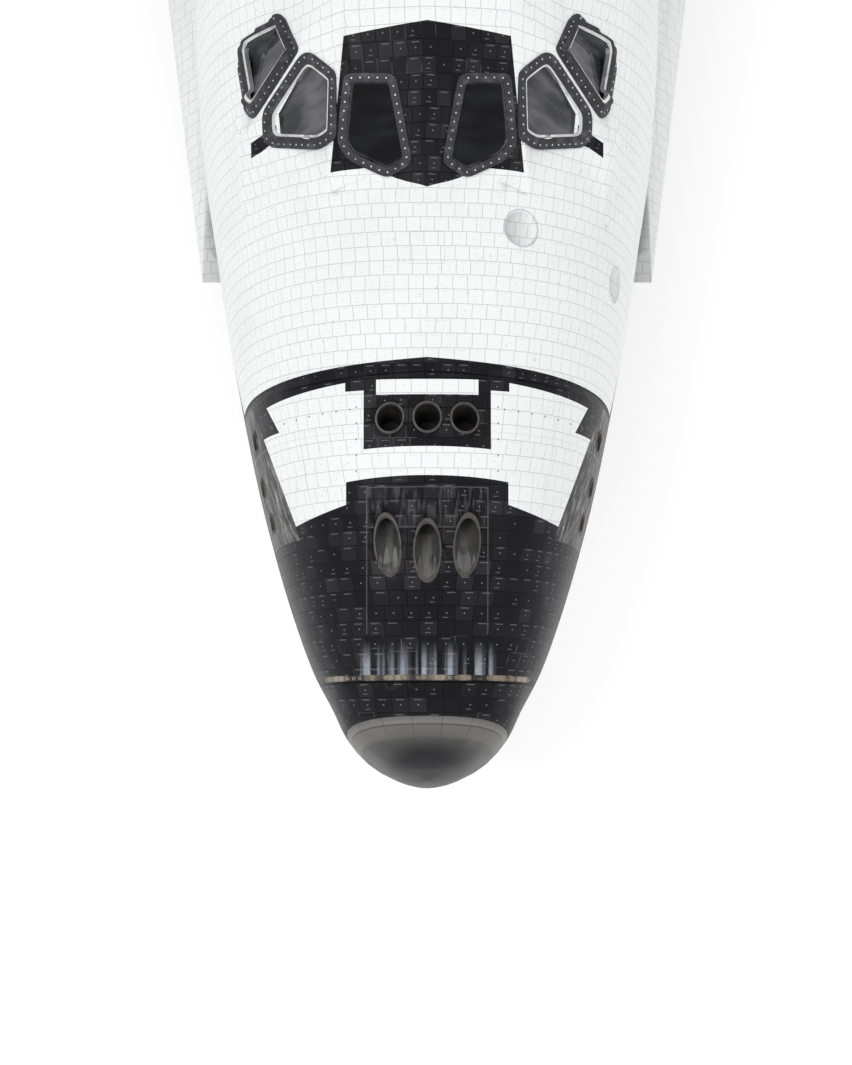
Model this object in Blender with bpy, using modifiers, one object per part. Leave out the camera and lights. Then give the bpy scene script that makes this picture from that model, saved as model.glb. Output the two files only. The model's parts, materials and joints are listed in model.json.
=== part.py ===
"""Winged reusable spacecraft, parked on its landing gear.

Everything is modelled in the craft's own axes and hung from one empty, which
holds the slight nose-down attitude that it parks in.

Craft axes, metres: +X to port, +Y aft from the nose tip, +Z up from the plane
of the belly.
"""
import math

import bmesh
import bpy
from mathutils import Matrix, Vector

# Parked attitude
PARK_TILT = math.radians(3.4)
BOX_CENTRE_Y = 18.1211
SEAM = 0.0003

# Stations along the body
CAP_EDGE = (0.414, 2.1, -0.067)
THRUSTER_BAY_FRONT = (0.666, 2.584, -0.376)
THRUSTER_BAY_REAR = (3.37, 3.90, -0.28)
THRUSTER_BAY_FLOOR_Z = 1.50
CUP_SEGMENTS = 10
CABIN_FRONT_Y = 4.35
CABIN_REAR_Y = 8.60
BAY_FRONT_Y = 8.79
BAY_REAR_Y = 27.20
BASE_Y = 32.80
BASE_RAKE = 0.17
BASE_LIP_Z = 0.90
AFT_WALL = 0.25
SHIELD_DEPTH = 0.55
SHIELD_THICKNESS = 0.12
NOSE_CHIN_Z = 1.40
NOSE_POINT = (-0.0107, 1.60)

# Body shape
HALF_BREADTH = ((0.0, 0.0), (0.03, 0.223), (0.1, 0.408), (0.25, 0.637), (0.5, 0.835), (0.8, 0.972),
                (1.2, 1.169), (1.8, 1.382), (2.5, 1.594), (3.3, 1.805), (4.2, 2.007), (5.2, 2.209),
                (6.2, 2.385), (7.4, 2.57), (8.79, 2.65), (27.2, 2.65), (29.5, 2.95), (32.8, 3.30))
CROWN = ((3.0, 3.78), (4.0, 4.12), (5.0, 4.40), (6.0, 4.75), (7.0, 5.20), (8.0, 5.70), (8.79, 5.92),
         (27.2, 5.92), (32.8, 5.92))
MIDLINE = ((0.0, 1.615), (0.5, 1.64), (1.0, 1.60), (2.0, 1.42), (3.5, 1.25), (5.0, 1.20), (32.8, 1.20))
CHIN_LENGTH = 3.8
NOSE_CROWN_Z = 1.83
NOSE_CROWN_RISE = 0.983
NOSE_CROWN_POWER = 0.625
UPPER_POWER = ((0.0, 2.5), (5.0, 2.5), (8.79, 2.75), (27.2, 2.75), (32.8, 3.6))
LOWER_POWER = ((0.0, 2.2), (3.0, 2.6), (8.79, 3.8), (27.2, 3.8), (32.8, 5.0))
RING_POINTS = 32
INNER_RING_POINTS = 20
BAY_RADIUS = 2.286
BAY_AXIS_Z = 3.38
SILL_Z = 3.80
DOOR_WALL = 0.20
WALL_PAD = (1.20, 2.20, 4.20, 0.025)

# Cockpit
CANOPY_CROWN = ((4.8, 4.38), (5.4, 5.02), (5.93, 5.30), (6.3, 5.46), (6.8, 5.66), (7.4, 5.80), (8.0, 5.88),
                (8.70, 5.915))
CANOPY_HALF = ((4.8, 1.60), (5.4, 1.95), (6.3, 2.10), (7.4, 2.20), (8.70, 2.30))
CANOPY_BASE_Z = 2.60
PANE_FORWARD = ((16.0, 49.0), (0.388, 5.179, 4.444))
PANE_MIDDLE = ((57.0, 38.0), (0.904, 5.768, 4.813))
PANE_SIDE = ((80.0, 36.0), (1.460, 6.227, 4.535))
GLASS_THICKNESS = 0.045
GLASS_INSET = 0.030
CABIN_WALL = 0.16
FLIGHT_DECK_Z = 3.05
DECK_PAD = (0.30, 6.85, 7.65, 0.02)
HATCH_CENTRE = (7.10, 2.10)
HATCH_RADIUS = 0.51
HATCH_TAPER = 0.20

# Wings
HINGE_Y = 29.24
WING_STATIONS = ((1.70, 6.45, 32.40, 0.56, 1.60, 1.75), (2.66, 6.45, 32.27, 0.56, 1.60, 1.75),
                 (3.60, 12.60, 32.10, 0.60, 1.52, 1.45), (4.83, 20.07, 31.88, 0.66, 1.33, 1.05),
                 (5.60, 21.15, 31.74, 0.70, 1.24, 1.0), (11.55, 27.05, 30.69, 1.07, 0.47, 1.0),
                 (11.90, 27.40, 30.63, 1.10, 0.30, 1.0))
WING_LOWER_SHARE = 0.35
EDGE_DEPTH = 0.03
WING_SECTION_POINTS = 13
ELEVON_SPANS = (("inboard", 3.36, 7.86), ("outboard", 7.90, 11.86))
ELEVON_CREST = {"inboard": (0.350, 0.262), "outboard": (0.262, 0.182)}
ELEVON_GAP = 0.012
ELEVON_UP = 40.0
ELEVON_SLOT = 0.10
END_STEP = 0.002
LUG_WIDTH = 0.078
HINGE_PIN = 0.022
PIN_CLEARANCE = 0.0008
AXLE_CLEARANCE = 0.0013
LUG_EYE = 0.07
LUG_ARM = 0.05

# Tail
FIN_LINES = ((5.70, 27.23, 33.40), (5.92, 27.24, 33.29), (6.70, 27.48, 33.68), (13.55, 34.10, 37.05),
             (13.94, 34.49, 37.24))
FIN_THICKNESS = ((5.70, 0.74), (5.92, 0.70), (6.70, 0.64), (13.55, 0.30), (13.94, 0.26))
FIN_UNDERCUT = (31.90, 5.95, 0.70)
RUDDER_ROOT = (30.56, 5.92)
RUDDER_TIP = (36.14, 13.94)
RUDDER_SPAN = (3.20, 9.22)
RUDDER_TUBE = (0.17, 0.08)
RUDDER_COVE = (0.28, 0.15)

# Engines
ENGINE_MOUNTS = (("upper", 0.0, 30.78, 4.35, 16.0, 0.0), ("left", 1.346, 31.30, 1.92, 10.0, 3.5),
                 ("right", -1.346, 31.30, 1.92, 10.0, -3.5))
DOME_RADIUS = 1.10
DOME_GAP = 0.035
BALL_RADIUS = 0.16
BELL_EXIT = 1.195
BELL_REACH = 4.26
POD_ENGINE = (2.235, 32.95, 5.45, 15.8, 6.5)
FLAP_HINGE = (32.95, 0.52)
FLAP_TIP_Y = 34.98
FLAP_HALF = 2.96
FLAP_RADIUS = 0.24
FLAP_LUG_X = 2.2
FLAP_LUG_REACH = 0.40

# Landing gear
MAIN_GEAR_X = 3.455
MAIN_GEAR_Y = 23.90
MAIN_AXLE_Z = -1.988
MAIN_TYRE = (0.565, 0.406)
MAIN_TYRE_OFFSET = 0.33
NOSE_GEAR_Y = 3.607
NOSE_TYRE = (0.406, 0.224)
NOSE_TYRE_OFFSET = 0.19
TYRE_SEGMENTS = 20
NOSE_AXLE = 0.055
MAIN_AXLE = 0.085
NOSE_WELL = (0.50, 1.95, 4.15, 0.95)
MAIN_WELL = (2.78, 4.28, 21.30, 24.60, 0.85)

PAINT = {
    "white_tile": ((0.80, 0.80, 0.78), 0.62, 0.0), "black_tile": ((0.035, 0.036, 0.040), 0.48, 0.0),
    "grey_shell": ((0.20, 0.21, 0.22), 0.40, 0.0), "blanket": ((0.78, 0.78, 0.76), 0.85, 0.0),
    "glass": ((0.05, 0.06, 0.08), 0.08, 0.0), "bell_metal": ((0.42, 0.40, 0.38), 0.35, 0.9),
    "gear_paint": ((0.72, 0.73, 0.72), 0.45, 0.1), "tyre_rubber": ((0.03, 0.03, 0.03), 0.85, 0.0),
    "wheel_metal": ((0.62, 0.63, 0.65), 0.35, 0.85), "cabin_grey": ((0.35, 0.37, 0.39), 0.60, 0.0),
    "seat_fabric": ((0.16, 0.17, 0.19), 0.90, 0.0),
}


def clear_scene():
    """Remove whatever the file already holds."""
    for old in list(bpy.data.objects):
        bpy.data.objects.remove(old, do_unlink=True)


clear_scene()
PARTS = bpy.data.collections.new("winged_spacecraft")
CUTTERS = bpy.data.collections.new("cutters")
bpy.context.scene.collection.children.link(PARTS)
bpy.context.scene.collection.children.link(CUTTERS)


def main_ground():
    """Height of the ground along the tilted vertical, at the craft's origin."""
    return MAIN_GEAR_Y * math.sin(PARK_TILT) + MAIN_AXLE_Z * math.cos(PARK_TILT) - flat_radius(MAIN_TYRE[0])


def flat_radius(radius):
    """Distance from a tyre's axle to the middle of its ground facet."""
    return radius * math.cos(math.pi / TYRE_SEGMENTS)


def nose_axle_z():
    """Height of the nose axle that puts all wheels on one ground plane."""
    rise = main_ground() + flat_radius(NOSE_TYRE[0]) - NOSE_GEAR_Y * math.sin(PARK_TILT)
    return rise / math.cos(PARK_TILT)


CRAFT = bpy.data.objects.new("craft_axes", None)
PARTS.objects.link(CRAFT)
CRAFT.rotation_euler = (PARK_TILT, 0.0, 0.0)
CRAFT.location = (0.0, -BOX_CENTRE_Y, -main_ground())


def paint(name):
    """One Principled material for each finish, made when first asked for."""
    found = bpy.data.materials.get(name)
    if found:
        return found
    colour, roughness, metallic = PAINT[name]
    made = bpy.data.materials.new(name)
    made.use_nodes = True
    shader = made.node_tree.nodes["Principled BSDF"]
    shader.inputs["Base Color"].default_value = (*colour, 1.0)
    shader.inputs["Roughness"].default_value = roughness
    shader.inputs["Metallic"].default_value = metallic
    return made


def face_outwards(bm):
    """Point every face of a closed bmesh out of it."""
    bmesh.ops.recalc_face_normals(bm, faces=bm.faces[:])
    if bm.calc_volume(signed=True) < 0.0:
        bmesh.ops.reverse_faces(bm, faces=bm.faces[:])


def add_part(name, bm, finish, pivot=(0.0, 0.0, 0.0), smooth=30.0):
    """Turn a bmesh in craft axes into a named part whose origin is its pivot."""
    face_outwards(bm)
    mesh = bpy.data.meshes.new(name)
    bm.to_mesh(mesh)
    bm.free()
    mesh.transform(Matrix.Translation(-Vector(pivot)))
    mesh.shade_smooth()
    mesh.set_sharp_from_angle(angle=math.radians(smooth))
    mesh.materials.append(paint(finish))
    part = bpy.data.objects.new(name, mesh)
    part.location = pivot
    part.parent = CRAFT
    PARTS.objects.link(part)
    return part


def add_cutter(name, bm):
    """A hidden shape in craft axes that carves or joins parts."""
    face_outwards(bm)
    mesh = bpy.data.meshes.new(name)
    bm.to_mesh(mesh)
    bm.free()
    cutter = bpy.data.objects.new(name, mesh)
    cutter.parent = CRAFT
    cutter.hide_render = True
    cutter.display_type = "WIRE"
    CUTTERS.objects.link(cutter)
    return cutter


def combine(part, other, operation="DIFFERENCE"):
    """Carve, join or intersect a part with another object."""
    step = part.modifiers.new(other.name, "BOOLEAN")
    step.object = other
    step.operation = operation
    return part


def smooth_value(table, place):
    """Value of a table of (place, value) pairs, eased between its entries without overshoot."""
    if place <= table[0][0]:
        return table[0][1]
    if place >= table[-1][0]:
        return table[-1][1]
    slopes = [(b[1] - a[1]) / (b[0] - a[0]) for a, b in zip(table, table[1:])]
    turns = [slopes[0]]
    for before, after in zip(slopes, slopes[1:]):
        turns.append(0.0 if before * after <= 0.0 else 2.0 * before * after / (before + after))
    turns.append(slopes[-1])
    index = next(i for i in range(len(slopes)) if place <= table[i + 1][0])
    (x0, y0), (x1, y1) = table[index], table[index + 1]
    width = x1 - x0
    t = (place - x0) / width
    rise = (2 * t ** 3 - 3 * t ** 2 + 1) * y0 + (-2 * t ** 3 + 3 * t ** 2) * y1
    return rise + width * ((t ** 3 - 2 * t ** 2 + t) * turns[index] + (t ** 3 - t ** 2) * turns[index + 1])


def crown_z(y):
    """Height of the body's top line, canopy left out."""
    if y < CROWN[0][0]:
        return NOSE_CROWN_Z + NOSE_CROWN_RISE * y ** NOSE_CROWN_POWER
    return smooth_value(CROWN, y)


def belly_z(y):
    """Height of the body's bottom line."""
    if y >= CHIN_LENGTH:
        return 0.0
    return NOSE_CHIN_Z * (1.0 - math.sqrt(1.0 - (1.0 - y / CHIN_LENGTH) ** 2))


def oval(half, top, bottom, middle, upper_power, lower_power, count, phase=0.0):
    """Points (x, z) of a superellipse with unlike halves, anticlockwise from +X."""
    points = []
    for step in range(count):
        angle = 2.0 * math.pi * (step + phase) / count
        c, s = math.cos(angle), math.sin(angle)
        power = upper_power if s >= 0.0 else lower_power
        height = (top - middle) if s >= 0.0 else (middle - bottom)
        x = half * math.copysign(abs(c) ** (2.0 / power), c)
        z = middle + height * math.copysign(abs(s) ** (2.0 / power), s)
        points.append((x, z))
    return points


def body_ring(y, inset=0.0, count=RING_POINTS):
    """Cross-section of the body at a station, drawn in by an inset."""
    half = smooth_value(HALF_BREADTH, y) - inset
    outline = oval(half, crown_z(y) - inset, belly_z(y) + inset, smooth_value(MIDLINE, y),
                   smooth_value(UPPER_POWER, y), smooth_value(LOWER_POWER, y), count)
    return [Vector((x, y, z)) for x, z in outline]


def loft(rings, tip=None):
    """Closed solid through rings of equal count, with flat ends or a pointed front."""
    bm = bmesh.new()
    loops = [[bm.verts.new(point) for point in ring] for ring in rings]
    count = len(loops[0])
    for first, second in zip(loops, loops[1:]):
        for i in range(count):
            j = (i + 1) % count
            bm.faces.new((first[i], first[j], second[j], second[i]))
    if tip is None:
        bm.faces.new(loops[0])
    else:
        apex = bm.verts.new(tip)
        for i in range(count):
            bm.faces.new((apex, loops[0][i], loops[0][(i + 1) % count]))
    bm.faces.new(loops[-1])
    bmesh.ops.triangulate(bm, faces=bm.faces[:])
    return bm


def slab(low, high):
    """Box between two corners."""
    bm = bmesh.new()
    size = Vector(high) - Vector(low)
    middle = (Vector(high) + Vector(low)) / 2.0
    bmesh.ops.create_cube(bm, size=1.0, matrix=Matrix.Translation(middle) @ Matrix.Diagonal((*size, 1.0)))
    return bm


def rod(start, end, radius, radius_end=None, segments=12):
    """Cylinder or cone between two points."""
    start, end = Vector(start), Vector(end)
    along = end - start
    turn = Vector((0.0, 0.0, 1.0)).rotation_difference(along).to_matrix().to_4x4()
    turn = turn @ Matrix.Rotation(math.pi / segments + 0.003, 4, "Z")
    bm = bmesh.new()
    bmesh.ops.create_cone(bm, cap_ends=True, segments=segments, radius1=radius,
                          radius2=radius if radius_end is None else radius_end, depth=along.length,
                          matrix=Matrix.Translation((start + end) / 2.0) @ turn)
    return bm


def keep_behind(bm, point, normal):
    """Cut a closed bmesh by a plane, and close what stays on the side away from the normal."""
    geometry = bm.verts[:] + bm.edges[:] + bm.faces[:]
    cut = bmesh.ops.bisect_plane(bm, geom=geometry, plane_co=point, plane_no=normal, clear_outer=True)
    rim = [item for item in cut["geom_cut"] if isinstance(item, bmesh.types.BMEdge)]
    bmesh.ops.contextual_create(bm, geom=rim)


def turned(profile, segments, name, finish, pivot, direction, phase=0.0):
    """Solid of revolution: a profile of (radius, distance) spun about a direction from the pivot."""
    mesh = bpy.data.meshes.new(name)
    mesh.from_pydata([(radius, 0.0, -distance) for radius, distance in profile],
                     [(i, i + 1) for i in range(len(profile) - 1)], [])
    mesh.materials.append(paint(finish))
    part = bpy.data.objects.new(name, mesh)
    spin = part.modifiers.new("spin", "SCREW")
    spin.steps = segments
    spin.render_steps = segments
    spin.use_merge_vertices = True
    spin.merge_threshold = 0.0001
    spin.use_smooth_shade = True
    turn = Vector((0.0, 0.0, -1.0)).rotation_difference(Vector(direction)).to_matrix().to_4x4()
    part.matrix_local = Matrix.Translation(pivot) @ turn @ Matrix.Rotation(phase, 4, "Z")
    part.parent = CRAFT
    PARTS.objects.link(part)
    return part


def lean_plane(edge):
    """Point and aft-pointing normal of a module's leaning end plane."""
    y, z, slope = edge
    return Vector((0.0, y, z)), Vector((0.0, 1.0, -slope)).normalized()


def body_solid(front, rear, inset=0.0):
    """Closed solid of the body between two stations, plainer where it is an inner wall."""
    stations = [y for y, _ in HALF_BREADTH if front < y < rear]
    stations += [y for y, _ in CROWN if front < y < rear and y not in stations]
    stations = sorted(stations)
    pointed = front <= 0.0
    count = INNER_RING_POINTS if inset > 0.01 else RING_POINTS
    rings = [body_ring(y, inset, count) for y in ([] if pointed else [front]) + stations + [rear]]
    return loft(rings, tip=Vector((0.0, *NOSE_POINT)) if pointed else None)


def pane_normal(angles):
    """Outward normal from an azimuth off dead ahead and an elevation, in degrees."""
    azimuth, elevation = (math.radians(angle) for angle in angles)
    flat = math.cos(elevation)
    return Vector((flat * math.sin(azimuth), -flat * math.cos(azimuth), math.sin(elevation)))


def canopy_solid(inset=0.0):
    """Raised cockpit top, with the six flat planes of its windows."""
    rings = []
    for y, top in CANOPY_CROWN:
        half = smooth_value(CANOPY_HALF, y) - inset
        outline = oval(half, top - inset, CANOPY_BASE_Z - 0.6, CANOPY_BASE_Z, 2.5, 2.5, 24)
        rings.append([Vector((x, y, z)) for x, z in outline])
    bm = loft(rings)
    for angles, point in (PANE_FORWARD, PANE_MIDDLE, PANE_SIDE):
        normal = pane_normal(angles)
        shifted = Vector(point) - normal * inset
        for side in (1.0, -1.0):
            flip = Vector((side, 1.0, 1.0))
            keep_behind(bm, shifted * flip, normal * flip)
    return bm


def pane_outline(side, corners, angles, point, rise):
    """Corners of a window, given as (x, y), put on its plane and raised along the normal."""
    normal = pane_normal(angles)
    base = Vector(point)
    placed = []
    for x, y in corners:
        z = base.z - (normal.x * (x - base.x) + normal.y * (y - base.y)) / normal.z
        placed.append(Vector((x, y, z)) + normal * rise)
    return [Vector((p.x * side, p.y, p.z)) for p in placed]


def pane_block(side, corners, angles, point, low, high):
    """Prism of a window's outline between two heights above its plane."""
    return loft([pane_outline(side, corners, angles, point, low),
                 pane_outline(side, corners, angles, point, high)])


def grown(corners, amount):
    """Corners moved out from their centre by about an amount."""
    cx = sum(x for x, _ in corners) / len(corners)
    cy = sum(y for _, y in corners) / len(corners)
    result = []
    for x, y in corners:
        reach = math.hypot(x - cx, y - cy)
        result.append((x + (x - cx) * amount / reach, y + (y - cy) * amount / reach))
    return result


PANES = {
    "forward": (PANE_FORWARD, ((0.359, 5.879), (0.721, 5.921), (0.786, 5.493), (0.714, 5.402),
                               (0.364, 5.235), (0.223, 5.271))),
    "middle": (PANE_MIDDLE, ((1.092, 6.236), (1.165, 6.245), (1.475, 6.005), (1.457, 5.820),
                             (1.019, 5.565), (0.936, 5.568), (0.932, 5.992))),
    "side": (PANE_SIDE, ((1.405, 6.809), (1.742, 6.894), (1.826, 6.823), (1.815, 6.304),
                         (1.704, 6.153), (1.312, 6.432))),
}
OVERHEAD_WINDOW = (0.28, 0.92, 7.35, 7.95)


def nose_cap():
    """Rounded shell at the very tip."""
    bm = body_solid(0.0, 1.2)
    keep_behind(bm, *lean_plane(CAP_EDGE))
    add_part("nose_cap", bm, "grey_shell")


def thruster_wedge(gap):
    """Shape that divides the thruster module from the nose, shrunk by a gap."""
    bm = slab((-3.0, 0.0, THRUSTER_BAY_FLOOR_Z + gap), (3.0, 5.0, 5.0))
    point, normal = lean_plane(THRUSTER_BAY_FRONT)
    keep_behind(bm, point + normal * gap, -normal)
    point, normal = lean_plane(THRUSTER_BAY_REAR)
    keep_behind(bm, point - normal * gap, normal)
    return bm


def thruster_module():
    """Forward thruster module with the cups of its nozzles."""
    module = add_part("forward_thruster_module", body_solid(0.0, 5.0), "white_tile")
    combine(module, add_cutter("thruster_wedge_inner", thruster_wedge(SEAM)), "INTERSECT")
    cups = []
    for x in (-0.36, 0.0, 0.36):
        cups.append(rod((x, 2.92, 3.45), (x, 2.92, 4.1), 0.12, 0.165, CUP_SEGMENTS))
    for x in (-0.38, 0.0, 0.38):
        cups.append(rod((x, 2.75, 3.235), (x, 1.15, 3.235), 0.10, 0.155, CUP_SEGMENTS))
    for side in (-1.0, 1.0):
        for y, z in ((3.46, 2.22), (3.02, 2.01), (2.61, 2.03)):
            cups.append(rod((side * 1.35, y, z), (side * 2.1, y, z - 0.02), 0.09, 0.13, CUP_SEGMENTS))
    for number, cup in enumerate(cups):
        combine(module, add_cutter("thruster_cup_%d" % number, cup))


def nose_body():
    """Forward fuselage: hollow at the cabin, open at its windows, hatch and nose gear well."""
    shell = add_part("forward_fuselage", body_solid(0.0, BAY_FRONT_Y - SEAM), "white_tile")
    combine(shell, add_cutter("canopy_outer", canopy_solid()), "UNION")
    cap_box = slab((-3.0, -1.0, -1.0), (3.0, 4.0, 5.0))
    point, normal = lean_plane(CAP_EDGE)
    keep_behind(cap_box, point + normal * SEAM, normal)
    combine(shell, add_cutter("nose_cap_room", cap_box))
    combine(shell, add_cutter("thruster_wedge_outer", thruster_wedge(0.0)))
    room = add_part("cabin_room", body_solid(CABIN_FRONT_Y, CABIN_REAR_Y, CABIN_WALL), "cabin_grey")
    combine(room, add_cutter("canopy_inner", canopy_solid(CABIN_WALL)), "UNION")
    trim = slab((-3.0, CABIN_FRONT_Y, -1.0), (3.0, CABIN_REAR_Y, 7.0))
    combine(room, add_cutter("cabin_ends", trim), "INTERSECT")
    as_cutter(room)
    combine(shell, room)
    half, front, rear, top = NOSE_WELL
    combine(shell, add_cutter("nose_well", slab((-half, front, -1.0), (half, rear, top))))
    for side, word in ((1.0, "left"), (-1.0, "right")):
        for name, ((angles, point), corners) in PANES.items():
            hole = pane_block(side, grown(corners, SEAM), angles, point, -0.8, 0.3)
            combine(shell, add_cutter("window_hole_%s_%s" % (name, word), hole))
        low_x, high_x, low_y, high_y = OVERHEAD_WINDOW
        xs = sorted((side * low_x, side * high_x))
        hole = slab((xs[0], low_y, 4.6), (xs[1], high_y, 6.4))
        combine(shell, add_cutter("overhead_hole_" + word, hole))
    combine(shell, add_cutter("hatch_hole", hatch_cone(0.0)))
    pad = wall_pad(BAY_FRONT_Y - SEAM, 1.0)
    combine(shell, add_cutter("front_wall_pad", pad), "UNION")


def wall_pad(y, side):
    """Flat pad that stands out of a load bay wall at y, aft when the side is 1."""
    half, low, high, rise = WALL_PAD
    ys = sorted((y - side * 0.09, y + side * rise))
    return slab((-half, ys[0], low), (half, ys[1], high))


def as_cutter(part):
    """Move a shape from the parts to the cutters."""
    PARTS.objects.unlink(part)
    CUTTERS.objects.link(part)
    part.hide_render = True
    part.display_type = "WIRE"


def hatch_cone(gap):
    """Tapered plug that separates the side hatch from the body."""
    y, z = HATCH_CENTRE
    reach = 0.6
    inner = HATCH_RADIUS - HATCH_TAPER * reach / 2.0 - gap
    outer = HATCH_RADIUS + HATCH_TAPER * reach / 2.0 - gap
    return rod((2.50 - reach / 2.0, y, z), (2.50 + reach / 2.0, y, z), inner, outer, segments=28)


def crew_hatch():
    """Round side hatch, hung at its lower edge."""
    hatch = add_part("crew_hatch", body_solid(4.2, BAY_FRONT_Y - SEAM), "white_tile", hatch_pivot())
    combine(hatch, bpy.data.objects["cabin_room"])
    combine(hatch, add_cutter("hatch_plug", hatch_cone(SEAM)), "INTERSECT")


def hatch_pivot():
    """Point on the hatch's hinge line, just outside the skin."""
    return (2.585, HATCH_CENTRE[0], HATCH_CENTRE[1] - HATCH_RADIUS - 0.035)


def cockpit_glass():
    """Six windscreen panes and two overhead windows, each sunk in its opening."""
    low = -GLASS_INSET - GLASS_THICKNESS
    for side, word in ((1.0, "left"), (-1.0, "right")):
        for name, ((angles, point), corners) in PANES.items():
            pane = pane_block(side, grown(corners, -SEAM), angles, point, low, -GLASS_INSET)
            add_part("window_%s_%s" % (name, word), pane, "glass")
        low_x, high_x, low_y, high_y = OVERHEAD_WINDOW
        xs = sorted((side * (low_x + SEAM), side * (high_x - SEAM)))
        sheet = slab((xs[0], low_y + SEAM, 5.66), (xs[1], high_y - SEAM, 5.70))
        add_part("window_overhead_" + word, sheet, "glass")


def cabin_fit_out():
    """Flight deck floor, instrument console and two seats seen through the windows."""
    floor = slab((-1.90, CABIN_FRONT_Y + 0.02, FLIGHT_DECK_Z - 0.16),
                 (1.90, CABIN_REAR_Y - 0.02, FLIGHT_DECK_Z))
    deck = add_part("flight_deck_floor", floor, "cabin_grey")
    room = add_cutter("deck_room", body_solid(4.2, BAY_FRONT_Y - SEAM, CABIN_WALL + SEAM))
    combine(deck, room, "INTERSECT")
    half, front, rear, rise = DECK_PAD
    pad = slab((-half, front, FLIGHT_DECK_Z - 0.05), (half, rear, FLIGHT_DECK_Z + rise))
    combine(deck, add_cutter("deck_pad", pad), "UNION")
    console = add_part("instrument_console", slab((-1.15, 4.95, FLIGHT_DECK_Z + SEAM), (1.15, 5.25, 3.95)),
                       "cabin_grey")
    combine(console, add_cutter("console_top", slab((-1.2, 4.90, 3.90), (1.2, 5.45, 4.02))), "UNION")
    combine(console, room, "INTERSECT")
    for side, word in ((1.0, "left"), (-1.0, "right")):
        middle = side * 0.62
        base = slab((middle - 0.25, 6.00, FLIGHT_DECK_Z + SEAM), (middle + 0.25, 6.50, 3.50))
        seat = add_part("seat_" + word, base, "seat_fabric")
        back = slab((middle - 0.25, 6.42, 3.30), (middle + 0.25, 6.56, 4.35))
        combine(seat, add_cutter("seat_back_" + word, back), "UNION")


def sill_corner():
    """Outer corner (x, z) of the load bay's sill, where the doors' hinges lie."""
    half = smooth_value(HALF_BREADTH, BAY_FRONT_Y)
    middle = smooth_value(MIDLINE, BAY_FRONT_Y)
    power = smooth_value(UPPER_POWER, BAY_FRONT_Y)
    share = (SILL_Z - middle) / (crown_z(BAY_FRONT_Y) - middle)
    return half * (1.0 - share ** power) ** (1.0 / power), SILL_Z


def load_bay():
    """Trough of the mid body and the two long doors that close it."""
    trough = add_part("mid_fuselage", body_solid(BAY_FRONT_Y, BAY_REAR_Y), "white_tile")
    middle_y = (BAY_FRONT_Y + BAY_REAR_Y) / 2.0
    drum = rod((0.0, BAY_FRONT_Y - 0.5, BAY_AXIS_Z), (0.0, BAY_REAR_Y + 0.5, BAY_AXIS_Z), BAY_RADIUS,
               segments=40)
    combine(trough, add_cutter("bay_drum", drum))
    above = slab((-4.0, BAY_FRONT_Y - 1.0, SILL_Z - SEAM), (4.0, BAY_REAR_Y + 1.0, 8.0))
    combine(trough, add_cutter("above_sill", above))
    pivot_x, pivot_z = sill_corner()
    inside = add_cutter("door_inside", body_solid(BAY_FRONT_Y - 0.3, BAY_REAR_Y + 0.3, DOOR_WALL))
    for side, word in ((1.0, "left"), (-1.0, "right")):
        xs = sorted((side * SEAM, side * 4.0))
        half = slab((xs[0], BAY_FRONT_Y + 2 * SEAM, SILL_Z), (xs[1], BAY_REAR_Y - 2 * SEAM, 8.0))
        pivot = (side * pivot_x, middle_y, pivot_z)
        door = add_part("payload_bay_door_" + word, body_solid(BAY_FRONT_Y - 0.2, BAY_REAR_Y + 0.2),
                        "blanket", pivot)
        combine(door, inside)
        combine(door, add_cutter("door_half_" + word, half), "INTERSECT")


def base_plane(depth):
    """Point and aft normal of the raked base, moved forward by a depth."""
    normal = Vector((0.0, 1.0, BASE_RAKE)).normalized()
    return Vector((0.0, BASE_Y, BASE_LIP_Z)) - normal * depth, normal


def engine_aim(pitch, yaw):
    """Direction that an engine's exhaust leaves in, from its pitch and yaw in degrees."""
    pitch, yaw = math.radians(pitch), math.radians(yaw)
    return Vector((math.sin(yaw), math.cos(yaw) * math.cos(pitch), math.cos(yaw) * math.sin(pitch)))


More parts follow.
